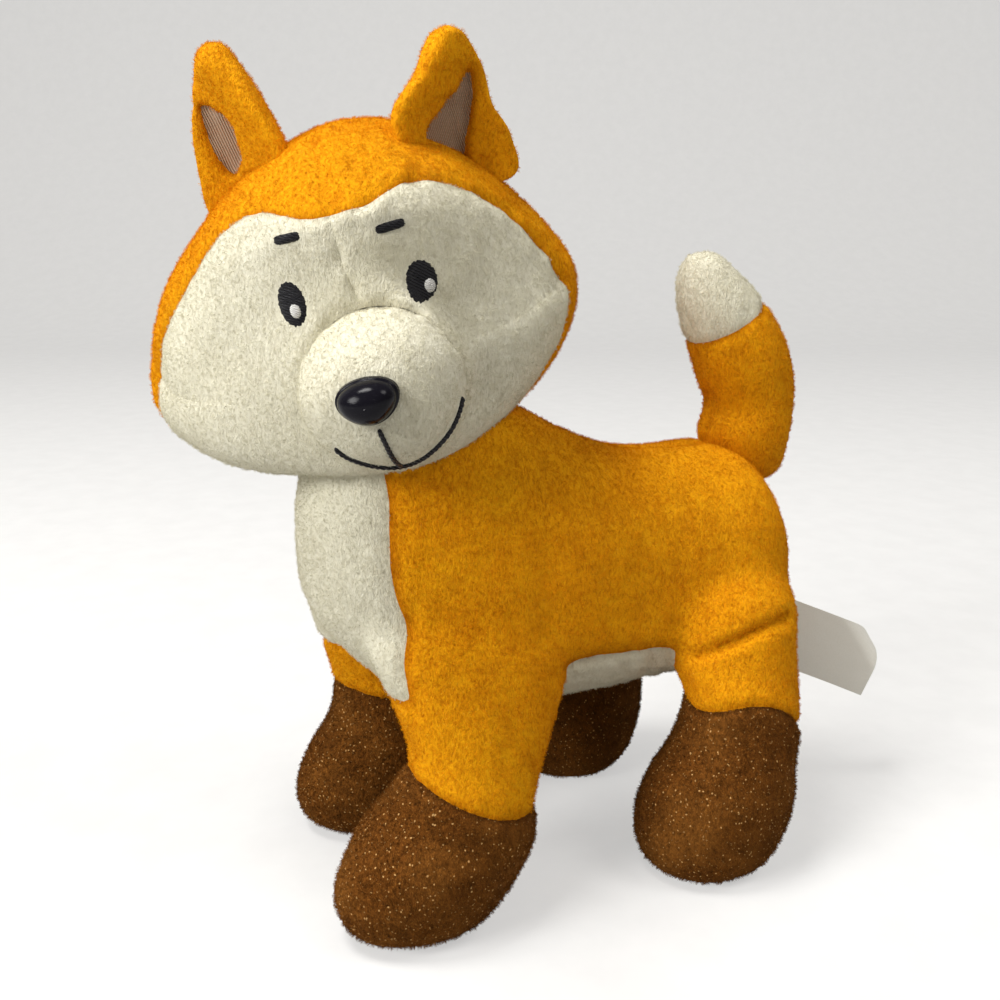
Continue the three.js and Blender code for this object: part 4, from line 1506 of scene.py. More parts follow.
class HeadForm:
    """The stuffed head: muzzle, two face panels and hood, with nose and embroidery."""

    def __init__(self, sizes: HeadSizes = HeadSizes()) -> None:
        """Takes the sizes and shapes the skull and the muzzle.

        Args:
            sizes: The head's sizes.
        """
        self.sizes = sizes
        self.turn, self.at = sizes.frame()
        self.skull_grid, marks = self.skull()
        self.seam_row = marks[3]
        self.muzzle_shell = self.muzzle()
        self.skull_shell = self.marked_skull()
        self.face = Surface(stacked([self.skull_shell.triangles(), self.muzzle_shell.triangles()]))

    def ring(self, top: np.ndarray, bottom: np.ndarray, row: Sequence[float]) -> np.ndarray:
        """A ring round the head.

        Args:
            top: Its highest place.
            bottom: Its lowest place.
            row: Half width, sweep, fullness, cheek, skew and fullness of the lower half.

        Returns:
            The ring.
        """
        width, sweep, fullness, cheek, skew, lower = row
        angle = turns(self.sizes.sides)
        low, out = np.cos(angle), np.sin(angle)
        full = np.where(low < 0, fullness, lower)
        centre = (top + bottom) / 2
        squeeze = 1 - self.sizes.squeeze * np.maximum(out, 0) ** 2 * (1 + 2.0 * np.maximum(low, 0))
        side = width * bulge(out, full) * (1 + cheek * low) * squeeze
        side = side - skew * out * out * (1 + self.sizes.low_skew * np.maximum(low, 0) ** 2)
        down = bulge(low, full)[:, None] * (bottom - centre)
        return centre + down + side[:, None] * X_AXIS + (sweep * out * out)[:, None] * Y_AXIS

    def muzzle_ring(self, reach: float, size: float) -> np.ndarray:
        """A ring round the muzzle.

        Args:
            reach: Share of the muzzle's reach ahead of the face.
            size: Share of its width and height.

        Returns:
            The ring.
        """
        sizes = self.sizes
        ahead = -sizes.face_front - sizes.muzzle_reach * reach
        middle = np.array([sizes.muzzle_offset, ahead, -sizes.muzzle_drop])
        rise = Z_AXIS * sizes.muzzle_height / 2 * size
        return self.ring(middle + rise, middle - rise, (sizes.muzzle_width / 2 * size, 0, 2, 0, 0, 2))

    def muzzle(self) -> Shell:
        """Shapes the muzzle.

        Returns:
            Its skin, sunk at the seam.
        """
        sizes = self.sizes
        tip = self.muzzle_ring(1, 0.001)
        rings = [tip, *[self.muzzle_ring(*row) for row in sizes.muzzle_rows], self.muzzle_ring(-0.12, 1)]
        grid, marks = loft(rings, sizes.step)
        shell = grid_shell(grid).outward()
        join = shell.points[:, 1] - grid[marks[4], 0, 1]
        low = np.abs(shell.points[:, 0] - sizes.muzzle_offset)
        low = low + np.where(shell.points[:, 2] > -24, FAR_OFF, 0)
        return dressed(shell, [join, low], sizes.muzzle_seam, MUZZLE_SEED)

    @staticmethod
    def beneath(points: np.ndarray, covers: Sequence[Cover]) -> np.ndarray:
        """Tells which points of the face lie beneath sewn-on things.

        Args:
            points: Points in the head's frame.
            covers: Each a radius, a stretch of height, and a flat line.

        Returns:
            One beneath them and zero elsewhere.
        """
        flat = points[:, [0, 2]]
        covered = np.zeros(len(points))
        for radius, stretch, line in covers:
            scale = np.array([1.0, stretch])
            away = line_distance(flat * scale, [np.array(spot) * scale for spot in line])
            covered = np.maximum(covered, np.clip((radius - away) / 0.3 + 0.5, 0, 1))
        return np.where(points[:, 1] < 0, covered, 0)

    def skull(self) -> tuple[np.ndarray, list[int]]:
        """Shapes the skull from the muzzle's seam to the back of the head.

        Returns:
            Rows of points, and the place of each shaping row.
        """
        sizes = self.sizes
        rings = [self.muzzle_ring(0.04, 1)]
        for top_ahead, top_up, low_ahead, low_up, width, sweep, upper, lower in sizes.skull_rows:
            row = (sizes.width / 2 * width, sizes.depth / 2 * sweep, upper, sizes.cheek, sizes.skew, lower)
            rings.append(self.ring(sizes.spot(top_ahead, top_up), sizes.spot(low_ahead, low_up), row))
        rings.append(pole(sizes.spot(*sizes.skull_back), sizes.sides))
        grid, marks = loft(rings, sizes.step)
        return self.arched(grid, marks[3]), marks

    def arched(self, grid: np.ndarray, seam: int) -> np.ndarray:
        """Slides rows so that the hood's edge arches over each eye and dips between them.

        Args:
            grid: Rows of points.
            seam: The row at the hood's edge.

        Returns:
            The slid rows.
        """
        rows, sides = grid.shape[:2]
        top = turns(sides) - math.pi
        rise = np.interp(top, *HOOD_RISE)
        rise = sum(np.roll(rise, step) for step in range(-4, 5)) / 9
        at = np.arange(rows)[:, None]
        weight = np.clip(1 - np.abs(at - seam) / HOOD_REACH, 0, 1) ** 0.8
        row = np.clip(at + weight * rise[None] / self.sizes.step, 0, rows - 1)
        low = np.minimum(row.astype(int), rows - 2)
        share = (row - low)[..., None]
        side = np.arange(sides)[None]
        return grid[low, side] * (1 - share) + grid[low + 1, side] * share

    def marked_skull(self) -> Shell:
        """Sinks the skull's seams and the dart, and marks the painted shade along them.

        Returns:
            The skull's skin.
        """
        grid = self.skull_grid
        shell = grid_shell(grid).outward()
        along = np.cumsum(np.linalg.norm(np.diff(grid, axis=0, prepend=grid[:1]), axis=2), axis=0)
        hood = (along - along[self.seam_row]).ravel()
        muzzle = along.ravel()
        turn = (turns(grid.shape[1]) + math.pi) % (2 * math.pi) - math.pi
        ring = np.linalg.norm(grid - np.roll(grid, 1, axis=1), axis=2).sum(1, keepdims=True)
        low = np.abs(turn[None] / (2 * math.pi) * ring).ravel()
        high = np.abs((math.pi - np.abs(turn[None])) / (2 * math.pi) * ring).ravel()
        low = np.where(hood < 30, np.minimum(low, FAR_OFF), FAR_OFF)
        high = np.where(hood < 0, high + 0.35, FAR_OFF)
        dart = line_distance(shell.points, HOOD_DART)
        done = dressed(shell, [hood, muzzle, low, high], self.sizes.seam, SKULL_SEED)
        done = done.pushed(-0.9 * hollow(dart, 1.0) + 0.3 * hollow(dart - 3, 1.6))
        # Painted shade along the hood's edge, faintly along the muzzle's seam, and along the dart
        marks = [hollow(hood, 0.5), hollow(muzzle, 0.6) * 0.25, hollow(dart, 0.45)]
        done.values["seam"] = np.max(marks, axis=0)
        return done

    def build(self, shop: Workshop, covers: Sequence[Cover]) -> list[bpy.types.Object]:
        """Makes the head's stuffed pieces.

        Args:
            shop: Makes the objects.
            covers: What no pile grows beneath.

        Returns:
            The pieces.
        """
        skull = self.skull_shell
        for shell in (skull, self.muzzle_shell):
            shell.values["bare"] = self.beneath(shell.points, covers)
        row = skull.values["row"][skull.faces].min(1)
        side = skull.values["side"][skull.faces]
        is_left = (side.min(1) < self.sizes.sides / 2) & (side.max(1) <= self.sizes.sides / 2)
        is_face = row < self.seam_row
        parts = [
            ("muzzle_pile", self.muzzle_shell, WHITE, ["muzzle"]),
            ("left_cheek", skull.kept(is_face & is_left), WHITE, ["left_face"]),
            ("right_cheek", skull.kept(is_face & ~is_left), WHITE, ["right_face"]),
            ("hood_pile", skull.kept(~is_face), ORANGE, ["hood", "head_filling"]),
        ]
        return shop.pieces(self.placed(parts), Body.HEAD)

    def placed(self, parts: Sequence[Part]) -> list[Part]:
        """Moves parts from the head's frame into the part's."""
        return [(name, shell.placed(self.turn, self.at), *rest) for name, shell, *rest in parts]


@dataclass(frozen=True)
class NoseSizes:
    """The moulded nose's sizes in millimetres.

    Args:
        width: Side to side.
        height: Bottom to top.
        dome: From its rim to its tip.
        rim: The rim's thickness.
        lift: How far it lies above the muzzle's middle.
        aside: How far it lies to the left of it.
        taper: How much wider it is above than below.
        rows: How far ahead of the muzzle each row lies, and its size.
        step: About how far apart its rings are laid.
        sides: How many points each of them has.
    """

    width: float = 10.6
    height: float = 8
    dome: float = 4.2
    rim: float = 0.8
    lift: float = 2.1
    aside: float = -0.5
    taper: float = 0.16
    rows: tuple[tuple[float, float], ...] = (
        (-4.2, 0.97),
        (0.0, 1.0),
        (0.45, 1.0),
        (0.75, 0.985),
        (0.86, 0.955),
        (0.9, 0.93),
        (1.15, 0.925),
        (2.3, 0.86),
        (3.65, 0.69),
        (4.55, 0.42),
        (4.9, 0.2),
    )
    step: float = 0.25
    sides: int = 96

    def build(self, shop: Workshop, head: HeadForm) -> bpy.types.Object:
        """Makes the nose.

        Args:
            shop: Makes the object.
            head: Where it sits.

        Returns:
            The nose.
        """
        sizes = head.sizes
        front = -sizes.face_front - sizes.muzzle_reach
        at = np.array([sizes.muzzle_offset + self.aside, front, self.lift - sizes.muzzle_drop])
        out, up = np.sin(turns(self.sides)), np.cos(turns(self.sides))
        rings = [pole(at - Y_AXIS * self.rows[0][0], self.sides)]
        for ahead, size in self.rows:
            across = self.width / 2 * size * out * (1 + self.taper * up)
            spots = np.stack([across, np.full(self.sides, -ahead), self.height / 2 * size * up], 1)
            rings.append(at + spots)
        rings.append(pole(at - Y_AXIS * (self.rim + self.dome), self.sides))
        grid, _ = loft(rings, self.step)
        parts = [("nose_moulding", grid_shell(grid).outward(), BLACK_PLASTIC, ["nose"])]
        return shop.pieces(head.placed(parts), Body.HEAD)[0]


@dataclass(frozen=True)
class Stitching:
    """Embroidery on the face, in millimetres across and up in the head's frame.

    Args:
        height: How far the thread stands proud.
        line: The width of the mouth's line.
        brow: A brow's width and height.
        glint: A highlight's width and height.
        eyes: Each eye's middle, and its width and height.
        glints: How far each highlight lies to the left of its eye's middle.
        brows: Each brow's middle.
        smile: The mouth's line from its right corner to its left.
        stem: The line between nose and mouth.
        sides: How many points go round a patch.
        rows: How many rings a patch has.
        thread: The width of one thread.
        step: How far apart a line's rings are laid.
    """

    height: float = 0.55
    line: float = 0.82
    brow: tuple[float, float] = (5.2, 1.7)
    glint: tuple[float, float] = (2.1, 2.7)
    eyes: dict[str, tuple[tuple[float, float], tuple[float, float]]] = field(
        default_factory=lambda: {"left": ((11.97, 5.88), (5.5, 7.5)), "right": ((-10.85, 7.77), (5.5, 8.2))}
    )
    glints: dict[str, float] = field(default_factory=lambda: {"left": 0.85, "right": 0.5})
    brows: dict[str, tuple[float, float]] = field(
        default_factory=lambda: {"left": (9.4, 16.3), "right": (-8.3, 18.7)}
    )
    smile: tuple[tuple[float, float], ...] = (
        (-8.0, -15.4), (-7.1, -17.0), (-5.6, -18.6), (-3.6, -20.4), (-1.4, -21.8), (0.8, -22.6), (3.0, -22.7),
        (5.2, -22.0), (7.1, -21.0), (8.8, -20.1), (10.5, -19.0), (12.1, -17.5), (13.5, -15.6), (14.5, -13.7),
    )
    stem: tuple[tuple[float, float], ...] = (
        (1.0, -12.9), (1.2, -15.6), (1.2, -17.6), (1.2, -19.6), (1.2, -22.8),
    )
    sides: int = 96
    rows: int = 26
    thread: float = 0.42
    step: float = 0.12

    def covered(self) -> list[Cover]:
        """Lists what lies over the face, so that no pile grows through it.

        Returns:
            Each a radius, a stretch of height, and a flat line.
        """
        covers: list[Cover] = [(self.line / 2, 1.0, line) for line in (self.smile, self.stem)]
        for middle, size in self.eyes.values():
            covers.append((size[0] / 2, size[0] / size[1], (middle, middle)))
        reach = self.brow[0] / 2 - self.brow[1] / 2
        for x, z in self.brows.values():
            covers.append((self.brow[1] / 2, 1.0, ((x - reach, z), (x + reach, z))))
        nose = (0.2, -7.9)
        return [*covers, (5.0, 1.3, (nose, nose))]

    def patch(
        self, head: HeadForm, middle: tuple[float, float], size: tuple[float, float], full: float, lift: float
    ) -> Shell:
        """A filled patch of satin stitch.

        Args:
            head: What it lies on.
            middle: Where its middle is.
            size: Its width and height.
            full: How square its outline is.
            lift: How far its edge starts above the cloth.

        Returns:
            The patch in the head's frame.
        """
        angle = turns(self.sides)
        share = np.linspace(0.02, 1, self.rows) ** 0.75
        wander = 1 + 0.025 * np.sin(angle * 17 + middle[0]) + 0.02 * np.sin(angle * 29)
        across = share[:, None] * bulge(np.sin(angle), full) * size[0] / 2 * wander
        up = share[:, None] * bulge(np.cos(angle), full) * size[1] / 2 * wander
        spots = np.stack([across + middle[0], np.full(across.shape, RAY_START), up + middle[1]], -1)
        places, normals = head.face.cast(spots.reshape(-1, 3), Y_AXIS)
        crown = np.sqrt(np.maximum(1 - share**2.6, 0))[:, None] * np.ones(self.sides)
        threads = 0.05 * np.sin((up + across * 0.35) * (2 * math.pi / self.thread)) * np.sqrt(crown)
        raised = (self.height * crown + threads - 0.35 * (1 - crown) + lift).ravel()
        grid = (places + normals * raised[:, None]).reshape(*across.shape, 3)
        return grid_shell(np.concatenate([pole(grid[0].mean(0), self.sides)[None], grid]), flip=True)

    def cord(self, head: HeadForm, line: Sequence[tuple[float, float]]) -> Shell:
        """A line of close stitches.

        Args:
            head: What it lies on.
            line: Places across and up.

        Returns:
            The line in the head's frame.
        """
        path = loft([np.array([knot], float) for knot in line], self.step)[0][:, 0]
        along = unit(np.gradient(path, axis=0))
        side = np.stack([along[:, 1], -along[:, 0]], 1)
        spots = np.stack([path[:, 0], np.full(len(path), RAY_START), path[:, 1]], 1)
        places, normals = head.face.cast(spots, Y_AXIS)
        sideways = np.stack([side[:, 0], np.zeros(len(side)), side[:, 1]], 1)
        sideways = unit(sideways - normals * (sideways * normals).sum(1, keepdims=True))
        angle = turns(16)
        length = np.arange(len(path)) * self.step
        ends = np.clip(np.minimum(length, length[-1] - length) / 0.4, 0.02, 1) ** 0.5
        twist = 1 + 0.12 * np.sin(length[:, None] * (2 * math.pi / 0.9) + angle * 2)
        out = np.cos(angle) * self.line / 2 * twist * ends[:, None]
        high = np.sin(angle) * self.height * twist * ends[:, None]
        grid = places[:, None] + sideways[:, None] * out[..., None]
        return grid_shell(grid + normals[:, None] * (high + 0.12)[..., None]).outward()

    def build(self, shop: Workshop, head: HeadForm) -> list[bpy.types.Object]:
        """Makes the eyes, brows and mouth.

        Args:
            shop: Makes the objects.
            head: What they lie on.

        Returns:
            The pieces.
        """
        parts = []
        for side, (middle, size) in self.eyes.items():
            glint = (middle[0] + self.glints[side], middle[1] - 1.25)
            for name, node, finish, patch in (
                ("eye", "eye", BLACK_THREAD, (middle, size, 2, 0.0)),
                ("glint", "eye_glint", WHITE_THREAD, (glint, self.glint, 2, 0.42)),
                ("brow", "brow", BLACK_THREAD, (self.brows[side], self.brow, 4, 0.0)),
            ):
                shell = self.patch(head, *patch)
                parts.append((f"{side}_{name}_stitching", shell, finish, [f"{side}_{node}"]))
        mouth = stacked([self.cord(head, line) for line in (self.smile, self.stem)])
        parts.append(("mouth_stitching", mouth, BLACK_THREAD, ["mouth"]))
        return shop.pieces(head.placed(parts), Body.HEAD)


# The linings' outlines, in shares outwards and up
LEFT_LINING = (
    (0.3, 0.54), (0.2, 0.49), (0.05, 0.4), (-0.16, 0.29), (-0.39, 0.2), (-0.52, 0.1), (-0.5, -0.2),
    (0.1, -0.3), (0.2, 0.05), (0.28, 0.2), (0.33, 0.37),
)
RIGHT_LINING = (
    (0.5, 0.57), (0.31, 0.52), (0.15, 0.44), (0.03, 0.33), (0.06, 0.21), (0.2, 0.1), (0.42, 0.0),
    (0.5, 0.05), (0.57, 0.15), (0.59, 0.25), (0.57, 0.36),
)


@dataclass(frozen=True)
class EarSizes:
    """An ear's sizes in millimetres, in a frame at its foot.

    Args:
        side: 1 for the left ear, -1 for the right.
        lean: How far it leans out, in degrees.
        panel: The lining's outline, in shares outwards and up.
        scale: Its height against the source's.
        narrow: How much its outer edge is drawn in.
        full: How much its inner edge is filled.
        length: Foot to tip.
        width: Edge to edge.
        thickness: Front to back.
        cup: How deep it is cupped.
        twist: How far its front is turned outwards, in degrees.
        foot: How far its root goes down into the head, in lengths.
        rows: Height, width, thickness and cup, in shares.
        outer_drawn: Where its outer edge is drawn in most, and over what height, in shares.
        inner_filled: Where its inner edge is filled most, and over what height, in shares.
        step: About how far apart its rings are laid.
        sides: How many points each of them has.
        seam: How deep the lining's seam lies.
        fill: How tightly it is stuffed. Not used.
    """

    side: int
    lean: float
    panel: tuple[tuple[float, float], ...]
    scale: float = 1.0
    narrow: float = 0.0
    full: float = 0.0
    length: float = 23.5
    width: float = 24.5
    thickness: float = 6
    cup: float = 6
    twist: float = 34
    foot: float = -0.4
    rows: tuple[tuple[float, ...], ...] = (
        (-0.3, 0.95, 0.9, 1),
        (0.06, 1, 1, 1),
        (0.34, 0.86, 1, 0.85),
        (0.62, 0.62, 0.94, 0.5),
        (0.82, 0.42, 0.85, 0.2),
        (0.95, 0.24, 0.6, 0.1),
    )
    outer_drawn: tuple[float, float] = (0.34, 0.3)
    inner_filled: tuple[float, float] = (0.28, 0.26)
    step: float = 0.5
    sides: int = 128
    seam: float = 0.45
    fill: float = 0.5

    def shaped(self, outwards: np.ndarray, up: float) -> np.ndarray:
        """Narrows the ear's outer edge and fills its inner one.

        Args:
            outwards: From -1 at the inner edge to 1 at the outer one.
            up: Share of the ear's length.

        Returns:
            The change of width.
        """
        outer = self.narrow * hollow(up - self.outer_drawn[0], self.outer_drawn[1])
        inner = self.full * hollow(up - self.inner_filled[0], self.inner_filled[1])
        return 1 - outer * np.maximum(outwards, 0) + inner * np.maximum(-outwards, 0)

    def shell(self) -> Shell:
        """Shapes the ear.

        Returns:
            Its skin, with the distance inside the lining as its lining value.
        """
        angle = turns(self.sides)
        out, ahead = np.sin(angle), np.cos(angle)
        rings = [pole((0, 0, self.length * self.foot), self.sides)]
        for up, width, depth, cup in self.rows:
            across = self.width / 2 * width * out * self.shaped(out * self.side, up)
            away = -self.thickness / 2 * depth * ahead - self.cup * cup * (out * out - 0.5)
            rings.append(np.stack([across, away, np.full(self.sides, self.length * up * self.scale)], 1))
        rings.append(pole((0, 0, self.length * self.scale), self.sides))
        grid, _ = loft(rings, self.step)
        shell = grid_shell(grid).outward()
        front = np.tile(ahead, grid.shape[0]) > 0
        outwards = shell.points[:, 0] * self.side / self.width * 2
        flat = np.stack([outwards, shell.points[:, 2] / self.length], 1)
        sizes = np.array([self.width / 2, self.length])
        inside = outline_depth(flat * sizes, np.array(self.panel) * sizes)
        shell.values["lining"] = np.where(front, inside, -6.0)
        edge = np.clip(np.tile(ahead, grid.shape[0]), 0, 1) ** 0.6
        inner = 1 / (1 + np.exp((flat[:, 0] - 0.1) * 9))
        away = np.maximum(-inside, 0)
        roll = np.sqrt(np.clip(1 - (1 - away / (1.6 + 1.6 * inner)).clip(0) ** 2, 0, 1))
        swell = edge * roll * (0.9 + 1.5 * inner) * np.clip((1.05 - flat[:, 1]) / 0.2, 0, 1)
        shell.points = shell.points - (swell * np.where(front, 1, 0))[:, None] * Y_AXIS
        return shell

    def build(self, shop: Workshop, head: HeadForm, foot: np.ndarray) -> list[bpy.types.Object]:
        """Makes the ear's two pieces.

        Args:
            shop: Makes the objects.
            head: What it stands on.
            foot: Where its foot is, in the part's frame.

        Returns:
            The pieces.
        """
        name = "left" if self.side > 0 else "right"
        body = Body.LEFT_EAR if self.side > 0 else Body.RIGHT_EAR
        turn = head.turn @ rotation(Y_AXIS, self.side * self.lean) @ rotation(Z_AXIS, self.side * self.twist)
        shell = self.shell()
        done = dressed(shell, [shell.values["lining"]], self.seam, EAR_SEED + self.side)
        sunk = np.clip(done.values["lining"], 0, 1.5) * -0.25
        lining, cloth = done.pushed(sunk).split("lining")
        nodes = [f"{name}_ear", f"{name}_ear_filling"]
        parts = [
            (f"{name}_ear_pile", cloth.placed(turn, foot), ORANGE, nodes),
            (f"{name}_ear_satin", lining.placed(turn, foot), TAN_SATIN, [f"{name}_ear_lining"]),
        ]
        return shop.pieces(parts, body)


@dataclass(frozen=True)
class TailSizes:
    """The tail's sizes in millimetres, and its rows in shares of them.

    Args:
        radius: Its half width.
        height: Root to tip.
        root: Where it leaves the body, in the part's frame.
        rows: Height, place behind the root, and width.
        tip: Where it closes, up and behind.
        step: About how far apart its rings are laid.
        sides: How many points each of them has.
        seam: How deep its seams lie.
        fill: How tightly it is stuffed. Not used.
    """

    radius: float = 11.25
    height: float = 44
    root: Place = (0, 50.5, 92)
    rows: tuple[tuple[float, ...], ...] = (
        (-0.18, 0.018, 0.67),
        (0, 0.018, 0.94),
        (0.22, 0.05, 0.95),
        (0.44, -0.03, 0.98),
        (0.64, -0.14, 0.87),
        (0.82, -0.26, 0.66),
        (0.93, -0.33, 0.4),
    )
    tip: tuple[float, float] = (0.98, -0.38)
    step: float = 0.8
    sides: int = 96
    seam: float = 0.6
    fill: float = 0.9

    def build(self, shop: Workshop) -> list[bpy.types.Object]:
        """Makes the tail and its white tip.

        Args:
            shop: Makes the objects.

        Returns:
            The pieces.
        """
        root = np.array(self.root)
        places = [*[row[:2] for row in self.rows], self.tip]
        spots = [root + np.array([0, back, up]) * self.height for up, back in places]
        angle = turns(self.sides)
        rings = [pole(root - Z_AXIS * self.radius, self.sides)]
        for at, (_, _, width) in enumerate(self.rows):
            along = unit(spots[at + 1] - spots[max(at - 1, 0)])
            out, back = np.sin(angle)[:, None] * X_AXIS, np.cos(angle)[:, None] * np.cross(X_AXIS, along)
            rings.append(spots[at] + self.radius * width * (out + back))
        rings.append(pole(spots[-1], self.sides))
        grid, marks = loft(rings, self.step)
        shell = grid_shell(grid).outward()
        seam = marks[5]
        away = np.cumsum(np.linalg.norm(np.diff(grid, axis=0, prepend=grid[:1]), axis=2), axis=0)
        join = (away - away[seam]).ravel()
        ring = 2 * math.pi * self.radius
        back = np.abs((angle + math.pi) % (2 * math.pi) - math.pi) / (2 * math.pi) * ring
        back = np.tile(back, grid.shape[0])
        done = dressed(shell, [join, back], self.seam, TAIL_SEED)
        # Painted shade only along the seam to the white tip
        done.values["seam"] = hollow(join, 0.6)
        row = done.values["row"][done.faces].min(1)
        parts = [
            ("tail_pile", done.kept(row < seam), ORANGE, ["tail", "tail_filling"]),
            ("tail_tip_pile", done.kept(row >= seam), WHITE, ["tail_tip"]),
        ]
        return shop.pieces(parts, Body.TAIL)


@dataclass(frozen=True)
class LabelSizes:
    """The blank label's sizes in millimetres: a tape folded double, sewn into the rump's seam.

    Args:
        width: Edge to edge.
        length: Seam to fold.
        start: How far from the joint it leaves the seam.
        lift: How far its middle lies above the joint.
        gap: Between the middles of its two layers.
        droop: How far it hangs, in degrees.
        turn: How far it swings to the left, in degrees.
        roll_from: How far out its corner starts to curl.
        roll_radius: How tightly it curls.
        roll_slant: The way out to that corner, in degrees.
    """

    width: float = 17
    length: float = 47
    start: float = 0.4
    lift: float = 3.6
    gap: float = 0.22
    droop: float = 22.5
    turn: float = 20
    roll_from: float = 26.5
    roll_radius: float = 4.3
    roll_slant: float = 53.6

    def rolled(self, along: np.ndarray, across: np.ndarray, layer: np.ndarray) -> np.ndarray:
        """Places points of the flat tape on the drooping, curling one.

        Args:
            along: Out of the seam.
            across: Up over its width.
            layer: Towards the left, through its thickness.

        Returns:
            The places from its root.
        """
        slant = math.radians(self.roll_slant)
        ways = np.array([math.cos(slant), math.sin(slant)])
        past = np.maximum(along * ways[0] + across * ways[1] - self.roll_from, 0)
        angle = past / self.roll_radius
        radius = self.roll_radius + layer
        shorter = past - radius * np.sin(angle)
        deeper = radius * np.cos(angle) - self.roll_radius
        flat_along = along - shorter * ways[0]
        flat_across = across - shorter * ways[1]
        wave = 0.5 * np.sin(along / 7.5) * np.clip(along / 10, 0, 1)
        droop = math.radians(self.droop)
        turn = math.radians(self.turn)
        outward = flat_along * math.cos(droop) + flat_across * math.sin(droop)
        upward = -flat_along * math.sin(droop) + flat_across * math.cos(droop)
        left = deeper + wave
        aside = outward * math.sin(turn) + left * math.cos(turn)
        behind = outward * math.cos(turn) - left * math.sin(turn)
        return np.stack([aside, behind, upward], -1)

    def build(self, shop: Workshop, root: np.ndarray) -> bpy.types.Object:
        """Makes the label.

        Args:
            shop: Makes the object.
            root: The joint that it swings on, in the part's frame.

        Returns:
            The label.
        """
        half = self.gap / 2
        out = np.linspace(self.start, self.length, 95)
        bend = np.linspace(0, math.pi, 7)[1:-1]
        along = np.concatenate([out, self.length + half * np.sin(bend), out[::-1]])
        layer = np.concatenate([np.full(len(out), half), half * np.cos(bend), np.full(len(out), -half)])
        across = np.linspace(-self.width / 2, self.width / 2, 36)
        along, side = np.meshgrid(along, across, indexing="ij")
        layers = np.repeat(layer[:, None], len(across), axis=1)
        grid = self.rolled(along, side, layers) + (root + self.lift * Z_AXIS)
        shell = grid_shell(grid, closed=False).outward()
        made = shop.piece("label_tape", shell, LABEL_SATIN, Body.LABEL, ["label"])
        return made


# Setting


